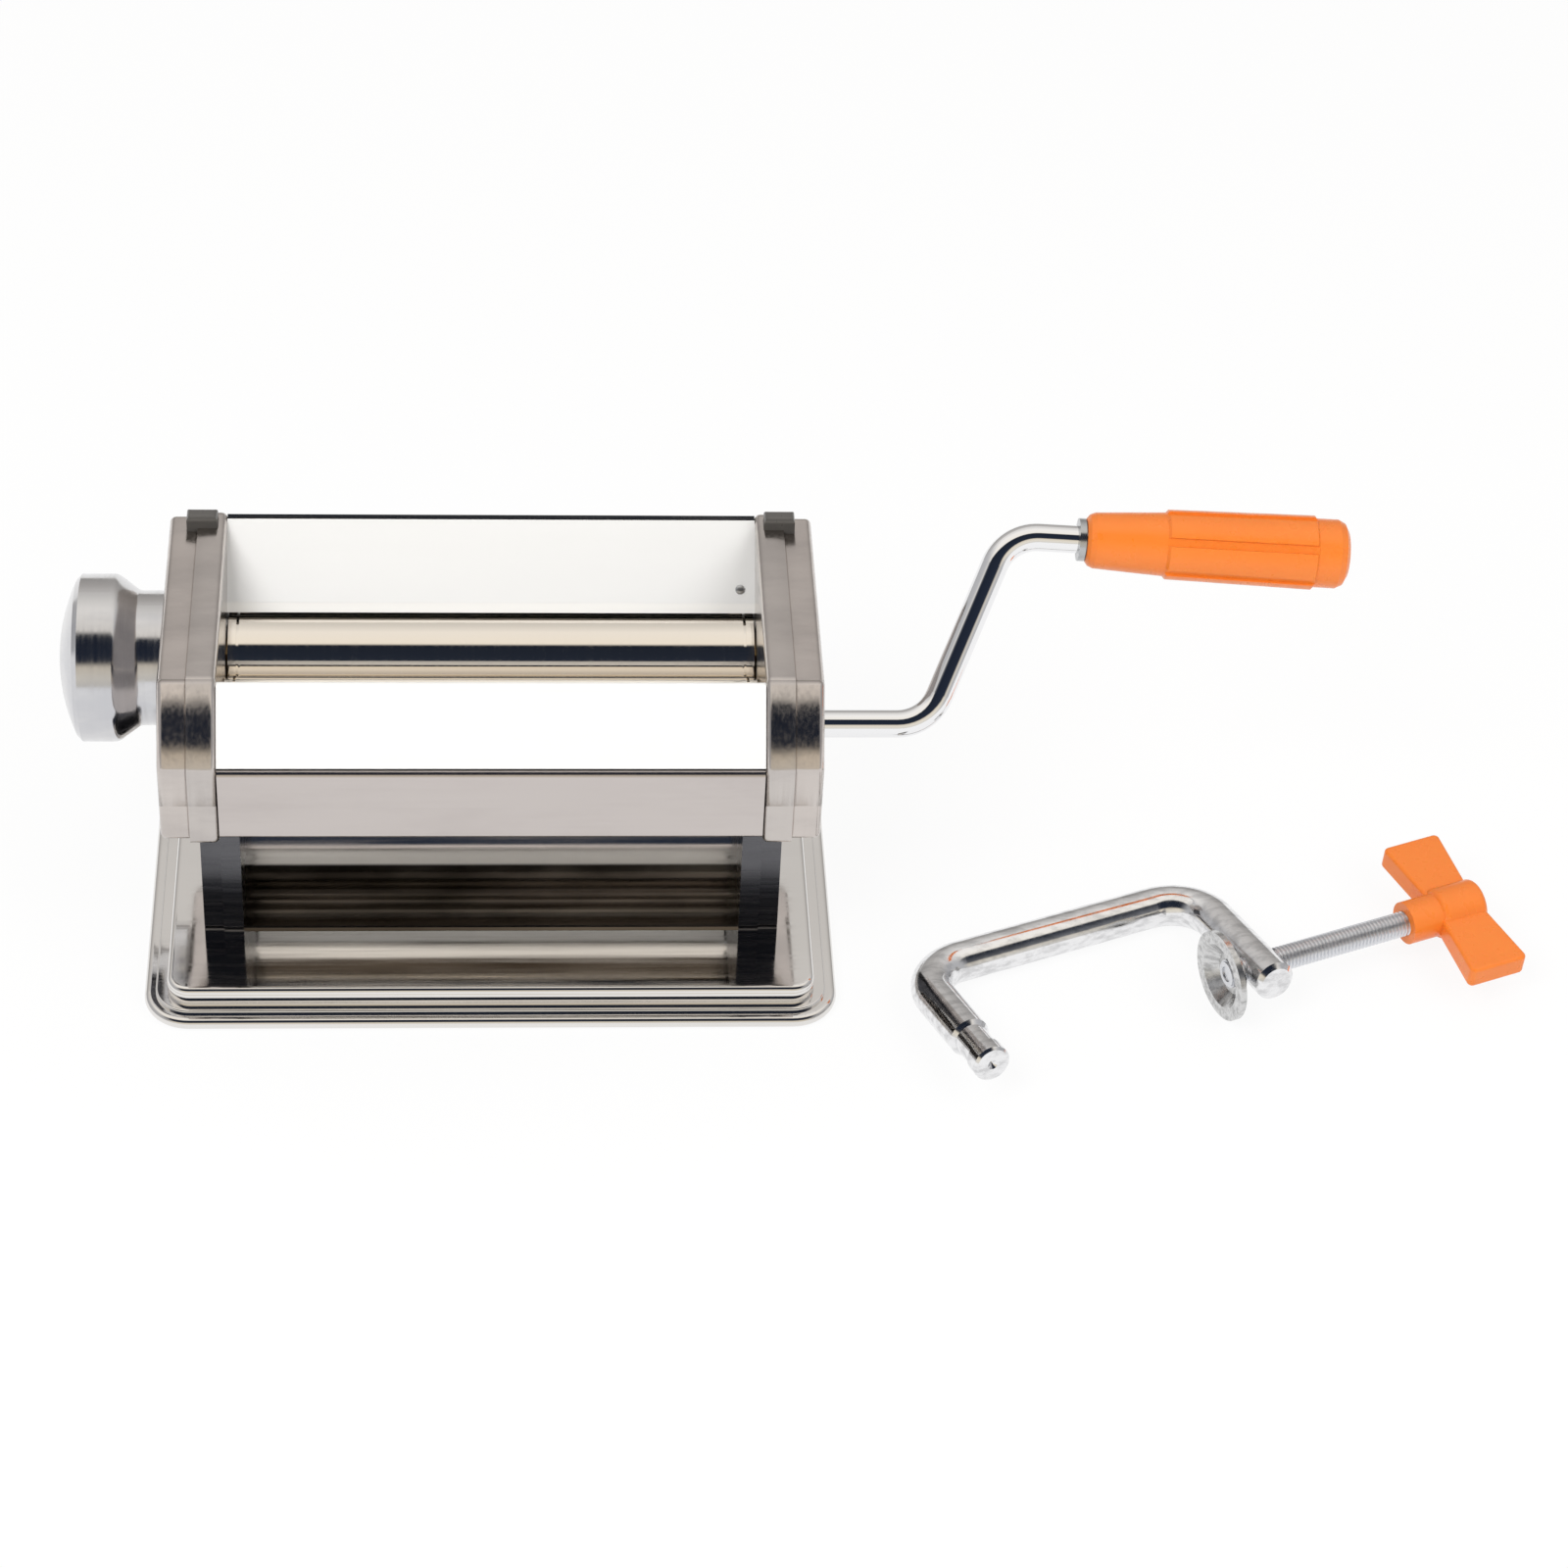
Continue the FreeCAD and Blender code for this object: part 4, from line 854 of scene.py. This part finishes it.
@dataclass
class ClampScrew:
    """The threaded rod of the clamp with its swivel end, in metres.

    The rod's length and places come from its solid.

    Args:
        thread_dia: Diameter over the thread.
        thread_depth: Depth of the groove.
        pitch: Distance from one turn of the groove to the next.
        groove_level: Height of the groove's wave, which is cut off at 1 to give a flat floor.
        flank_slope: How fast that wave falls to both sides, per turn.
        neck_dia: Diameter between the thread and the swivel head.
        head_dia: Diameter of the swivel head.
        run_out: Length over which the groove fades at both ends.
        same_radius: How near a point of the solid lies to a diameter that it belongs to.
        rows_per_turn: Rows of points in one pitch.
        columns: Points round the screw.
    """

    thread_dia: float = 7.9 * MM
    thread_depth: float = 0.62 * MM
    pitch: float = 1.25 * MM
    groove_level: float = 1.35
    flank_slope: float = 4.0
    neck_dia: float = 5.0 * MM
    head_dia: float = 9.0 * MM
    run_out: float = 1.5 * MM
    same_radius: float = 0.1 * MM
    rows_per_turn: int = 10
    columns: int = 36

    def profile(self, frame: dict, axis: AxisFrame) -> tuple[np.ndarray, np.ndarray, float, float]:
        """Row places and radii along the screw.

        Args:
            frame: The loaded frame.
            axis: The screw's axis, which points to the pad.

        Returns:
            Places along the axis, plain radii there, and where the thread starts and ends.
        """
        along, radius = axis.measure(node_points(frame, "clamp_screw"))
        rod = along[np.abs(radius - self.thread_dia / 2) < self.same_radius]
        head = along[np.abs(radius - self.head_dia / 2) < self.same_radius]
        start, end = rod.min(), rod.max()
        count = int((end - start) / self.pitch * self.rows_per_turn)
        thread = np.linspace(start, end, count)
        full, neck, wide = self.thread_dia / 2, self.neck_dia / 2, self.head_dia / 2
        places = np.concatenate([[start], thread, [end, head.min(), head.min(), head.max(), head.max()]])
        radii = np.concatenate([[0.0], np.full(count, full), [neck, neck, wide, wide, 0.0]])
        return places, radii, start, end

    def build(self, frame: dict, shop: FinishShop) -> bpy.types.Object:
        """Makes the screw.

        The phase is the place along the axis in pitches, less the angle in turns. The groove is
        deepest at half a phase, falls straight to both sides and fades towards the thread's ends. The
        radius is the plain one less the groove's depth.

        Args:
            frame: The loaded frame.
            shop: Where finishes come from.

        Returns:
            The piece that stands for the plain rod.
        """
        axis = joint_axis(frame, "clamp_turn")
        places, radii, start, end = self.profile(frame, axis)
        turn = np.linspace(0.0, FULL_TURN, self.columns, endpoint=False)
        place, angle = np.meshgrid(places, turn, indexing="ij")
        phase = np.mod(place / self.pitch - angle / FULL_TURN, 1.0)
        groove = np.clip(self.groove_level - np.abs(phase - 0.5) * self.flank_slope, 0.0, 1.0)
        fade = np.clip(np.minimum(place - start, end - place) / self.run_out, 0.0, 1.0)
        threaded = np.isclose(radii, self.thread_dia / 2)
        cut = self.thread_depth * groove * fade * threaded[:, None]
        screw = GridSurface("clamp_screw_thread", axis.points(place, radii[:, None] - cut, angle)).build()
        shop.put(screw, ZINC)
        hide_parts("clamp_screw")
        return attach(screw, Body.WING.value)


@dataclass
class HopperRivet:
    """A small dome that pins the hopper plate near its right-hand end, in metres.

    Args:
        dia: Diameter of the dome.
        rise: Height of the dome, and how deep its foot stands in the plate.
        from_end: Distance from the plate's end.
        up_share: Place up the plate's slope, as a share of its length.
        rows: Rows of points from the edge to the top.
        columns: Points round the dome.
    """

    dia: float = 3.0 * MM
    rise: float = 0.7 * MM
    from_end: float = 4.5 * MM
    up_share: float = 0.24
    rows: int = 9
    columns: int = 28

    def build(self, frame: dict, shop: FinishShop) -> bpy.types.Object:
        """Makes the rivet.

        The plate slopes at close to 45 degrees, which is taken as its slope here, so its length up the
        slope is its height times the root of two.
        The dome is a quarter of an ellipse, turned round the line square to the plate: the rise times
        a sine up that line and half the diameter times a cosine out from it.

        Args:
            frame: The loaded frame.
            shop: Where finishes come from.

        Returns:
            The piece.
        """
        low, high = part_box("hopper_plate")
        points = node_points(frame, "hopper_plate")
        top = points[np.argmax(points[:, 2] - points[:, 1])]
        slope = np.array([0.0, 1.0, 1.0]) / math.sqrt(2.0)
        foot = np.array([high.x - self.from_end, top[1], top[2]])
        reach = (high.z - low.z) * math.sqrt(2.0)
        up = points @ slope
        foot = foot + slope * (up.min() + self.up_share * reach - foot @ slope)
        axis = AxisFrame(foot, np.array([0.0, -1.0, 1.0]))
        bow = np.linspace(0.0, math.pi / 2, self.rows)
        rise = np.concatenate([[-self.rise], np.sin(bow) * self.rise])
        radius = np.concatenate([[self.dia / 2], np.cos(bow) * self.dia / 2])
        turn = np.linspace(0.0, FULL_TURN, self.columns, endpoint=False)
        place, angle = np.meshgrid(rise, turn, indexing="ij")
        spread = np.repeat(radius[:, None], self.columns, axis=1)
        rivet = GridSurface("hopper_rivet", axis.points(place, spread, angle)).build()
        shop.put(rivet, MACHINED)
        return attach(rivet, Body.FRAME.value)


@dataclass
class SubAssembly:
    """Solids that belong together, with the finish of each.

    Args:
        frame: The loaded frame.
        shop: Where finishes come from.
    """

    FINISHES = {}

    frame: dict
    shop: FinishShop

    def dress(self) -> None:
        """Gives each solid its finish."""
        for finish, names in self.FINISHES.items():
            for name in names:
                self.shop.put(self.frame["nodes"][name], finish)
                LOG.info("solid %s is %s", name, finish.name)

    def build(self) -> None:
        """Dresses the solids."""
        self.dress()


class Stand(SubAssembly):
    """Base, legs and the chute between them."""

    FINISHES = {
        BASE: ("base_plate",),
        LEG: ("left_leg", "right_leg"),
        CHUTE: ("chute_plate",),
        RUBBER: ("rubber_feet",),
        MACHINED: ("base_screws",),
    }


class RollerDrive(SubAssembly):
    """Rollers with their shafts, gears, bushes, carriage and scrapers."""

    FINISHES = {
        ROLLER: ("front_roller", "rear_roller"),
        MACHINED: ("front_shaft", "rear_shaft", "front_gear", "rear_gear", "carriage_rod",
                   "left_carriage_arm", "right_carriage_arm"),
        BRONZE: ("left_front_bush", "right_front_bush", "left_rear_bush", "right_rear_bush"),
        BLADE: ("front_scraper", "rear_scraper"),
    }


class Regulator(SubAssembly):
    """Thickness knob and its spindle."""

    FINISHES = {
        ALUMINIUM: ("thickness_knob",),
        MACHINED: ("regulator_spindle",),
    }


class CrankHandle(SubAssembly):
    """Bent crank with its turning grip."""

    FINISHES = {
        CHROME: ("crank_rod",),
        MACHINED: ("grip_collar",),
        ORANGE: ("crank_grip",),
    }


class TableClamp(SubAssembly):
    """Loose clamp with its screw."""

    FINISHES = {
        CLAMP_CHROME: ("clamp_bar",),
        ZINC: ("clamp_screw",),
        PAD_ZINC: ("pressure_disc",),
        ORANGE: ("wing_knob",),
    }

    def build(self) -> None:
        """Dresses the solids and cuts the screw's thread."""
        self.dress()
        ClampScrew().build(self.frame, self.shop)


class Housings(SubAssembly):
    """Side housings with the sheets, lugs and rods between them."""

    FINISHES = {
        PANEL: ("front_panel",),
        HOPPER: ("hopper_plate",),
        SKIRT: ("front_skirt",),
        HOUSING: ("left_side_frame", "right_side_frame"),
        COVER: ("left_outer_cover", "right_outer_cover"),
        BACK_SHEET: ("rear_cover", "rear_sill"),
        BLACKENED: ("left_accessory_lug", "right_accessory_lug"),
        MACHINED: ("tie_rods", "clamp_socket"),
    }

    def build(self) -> None:
        """Dresses the solids and adds the hopper's rivet."""
        self.dress()
        HopperRivet().build(self.frame, self.shop)


@dataclass
class SoftBox:
    """One soft round lamp, which polished metal doesn't mirror.

    Args:
        name: Name of the lamp.
        place: Where it hangs, in metres.
        size: Its diameter in metres.
        power: Its power in watts.
    """

    name: str
    place: tuple[float, float, float]
    size: float
    power: float

    def build(self, aim: Vector) -> None:
        """Hangs the lamp.

        Args:
            aim: Point that it faces.
        """
        lamp = bpy.data.lights.new(self.name, "AREA")
        lamp.shape = "DISK"
        lamp.size = self.size
        lamp.energy = self.power
        holder = bpy.data.objects.new(self.name, lamp)
        holder.location = self.place
        holder.rotation_euler = (aim - Vector(self.place)).to_track_quat("-Z", "Y").to_euler()
        holder.visible_glossy = False
        bpy.context.scene.collection.objects.link(holder)
        LOG.info("lamp %s of %.1f W", self.name, self.power)


@dataclass
class Studio:
    """Floor, room light, lamps and camera, in metres.

    Args:
        target: Point that the lamps face and that the camera is set round.
        distance: Distance of the camera from it.
        elevation: Angle of the camera above the table.
        swing: Angle that the camera then turns aside.
        nod: Angle that it then turns up or down.
        lens_mm: Focal length.
        sensor_mm: Width of the film.
        clip_start: Nearest distance that the camera shows.
        floor_half: Half of the floor's width.
        floor_drop: How far the floor lies below the table's height.
        floor_white: Grey level of the floor's own colour.
        shadow_share: Share of the shaded floor in what is seen of it.
        room_bands: Room colours from the front horizon (0) over the top (0.5) to the back horizon (1).
        side_grey: Room colour at both sides.
        side_turn: Sideways parts of a direction between which the bands turn into the side colour.
        lamps: The lamps.
    """

    target: tuple[float, float, float] = (0.0, 0.0, 0.0488)
    distance: float = 1.355
    elevation: float = math.radians(41.3)
    swing: float = math.radians(3.8)
    nod: float = math.radians(0.2)
    lens_mm: float = 100.9
    sensor_mm: float = 36.0
    clip_start: float = 0.01
    floor_half: float = 4.0
    floor_drop: float = 0.0003
    floor_white: float = 0.92
    shadow_share: float = 0.1
    room_bands: tuple[tuple[float, Colour], ...] = (
        (0.0, (0.75, 0.72, 0.66)),
        (0.06, (0.86, 0.81, 0.71)),
        (0.15, (0.79, 0.71, 0.58)),
        (0.185, (0.02, 0.027, 0.045)),
        (0.395, (0.014, 0.019, 0.032)),
        (0.425, (1.0, 0.95, 0.87)),
        (0.6, (1.0, 0.97, 0.93)),
        (0.7, (0.82, 0.8, 0.77)),
        (0.77, (0.68, 0.66, 0.64)),
        (0.86, (0.5, 0.48, 0.46)),
        (1.0, (0.35, 0.34, 0.33)),
    )
    side_grey: Colour = (0.5, 0.5, 0.51)
    side_turn: tuple[float, float] = (0.5, 0.9)
    lamps: tuple[SoftBox, ...] = (
        SoftBox("key_lamp", (-0.7, -0.9, 1.4), 1.0, 17.0),
        SoftBox("fill_lamp", (0.9, -0.7, 1.0), 0.9, 6.5),
    )

    def build(self) -> None:
        """Sets the whole studio."""
        self.floor()
        self.room()
        for lamp in self.lamps:
            lamp.build(Vector(self.target))
        self.camera()
        bpy.context.scene.view_settings.view_transform = "Standard"

    def floor(self) -> None:
        """Lays a white floor that keeps a faint shadow."""
        half, low = self.floor_half, -self.floor_drop
        corners = [(-half, -half, low), (half, -half, low), (half, half, low), (-half, half, low)]
        mesh = bpy.data.meshes.new("floor")
        mesh.from_pydata(corners, [], [(0, 1, 2, 3)])
        sheet = bpy.data.objects.new("floor", mesh)
        bpy.context.scene.collection.objects.link(sheet)
        mesh.materials.append(self.floor_material())

    def floor_material(self) -> bpy.types.Material:
        """The floor's white, which glows for the camera and in mirrors and lets some shade through.

        Returns:
            The material.
        """
        material = bpy.data.materials.new("floor_white")
        material.use_nodes = True
        tree = material.node_tree
        shader = tree.nodes["Principled BSDF"]
        shader.inputs["Base Color"].default_value = (self.floor_white,) * 3 + (1.0,)
        shader.inputs["Roughness"].default_value = 1.0
        shader.inputs["Specular IOR Level"].default_value = 0.0
        glow = tree.nodes.new("ShaderNodeEmission")
        rays = tree.nodes.new("ShaderNodeLightPath")
        seen = rays.outputs["Is Camera Ray"]
        for name in ("Is Glossy Ray", "Is Transmission Ray"):
            seen = maths(tree, "MAXIMUM", seen, rays.outputs[name])
        mix = tree.nodes.new("ShaderNodeMixShader")
        feed(tree, mix.inputs["Fac"], maths(tree, "MULTIPLY", seen, 1.0 - self.shadow_share))
        feed(tree, mix.inputs[1], shader.outputs["BSDF"])
        feed(tree, mix.inputs[2], glow.outputs["Emission"])
        feed(tree, tree.nodes["Material Output"].inputs["Surface"], mix.outputs["Shader"])
        return material

    def room(self) -> None:
        """Lights the room in bands from the front horizon over the top to the back.

        A band's place is the angle of height over the way forward, as a share of half a turn.
        """
        world = bpy.data.worlds.new("studio_room")
        world.use_nodes = True
        bpy.context.scene.world = world
        tree = world.node_tree
        parts = tree.nodes.new("ShaderNodeSeparateXYZ")
        feed(tree, parts.inputs[0], tree.nodes.new("ShaderNodeTexCoord").outputs["Generated"])
        forward = maths(tree, "MULTIPLY", parts.outputs["Y"], -1.0)
        height = maths(tree, "ARCTAN2", parts.outputs["Z"], forward)
        bands = tree.nodes.new("ShaderNodeValToRGB")
        feed(tree, bands.inputs["Fac"], maths(tree, "DIVIDE", height, math.pi))
        stops = bands.color_ramp.elements
        while len(stops) < len(self.room_bands):
            stops.new(0.5)
        for stop, (at, colour) in zip(stops, self.room_bands):
            stop.position = at
            stop.color = (*colour, 1.0)
        aside = smooth_turn(tree, maths(tree, "ABSOLUTE", parts.outputs["X"]), *self.side_turn)
        seen = blend(tree, aside, bands.outputs["Color"], (*self.side_grey, 1.0))
        feed(tree, tree.nodes["Background"].inputs["Color"], seen)

    def camera(self) -> None:
        """Sets the camera in front of and above the machine."""
        lens = bpy.data.cameras.new("camera")
        lens.lens = self.lens_mm
        lens.sensor_width = self.sensor_mm
        lens.clip_start = self.clip_start
        holder = bpy.data.objects.new("camera", lens)
        back = Vector((0.0, -math.cos(self.elevation), math.sin(self.elevation)))
        holder.location = Vector(self.target) + back * self.distance
        level = (-back).to_track_quat("-Z", "Y").to_matrix()
        turn = Matrix.Rotation(-self.swing, 3, "Y") @ Matrix.Rotation(-self.nod, 3, "X")
        holder.rotation_euler = (level @ turn).to_euler()
        bpy.context.scene.collection.objects.link(holder)
        bpy.context.scene.camera = holder


def main() -> None:
    """Builds the dressed machine in its studio."""
    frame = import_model()
    shop = FinishShop()
    for assembly in (Stand, RollerDrive, Regulator, CrankHandle, TableClamp, Housings):
        assembly(frame, shop).build()
    Studio().build()


if __name__ == "__main__":
    main()
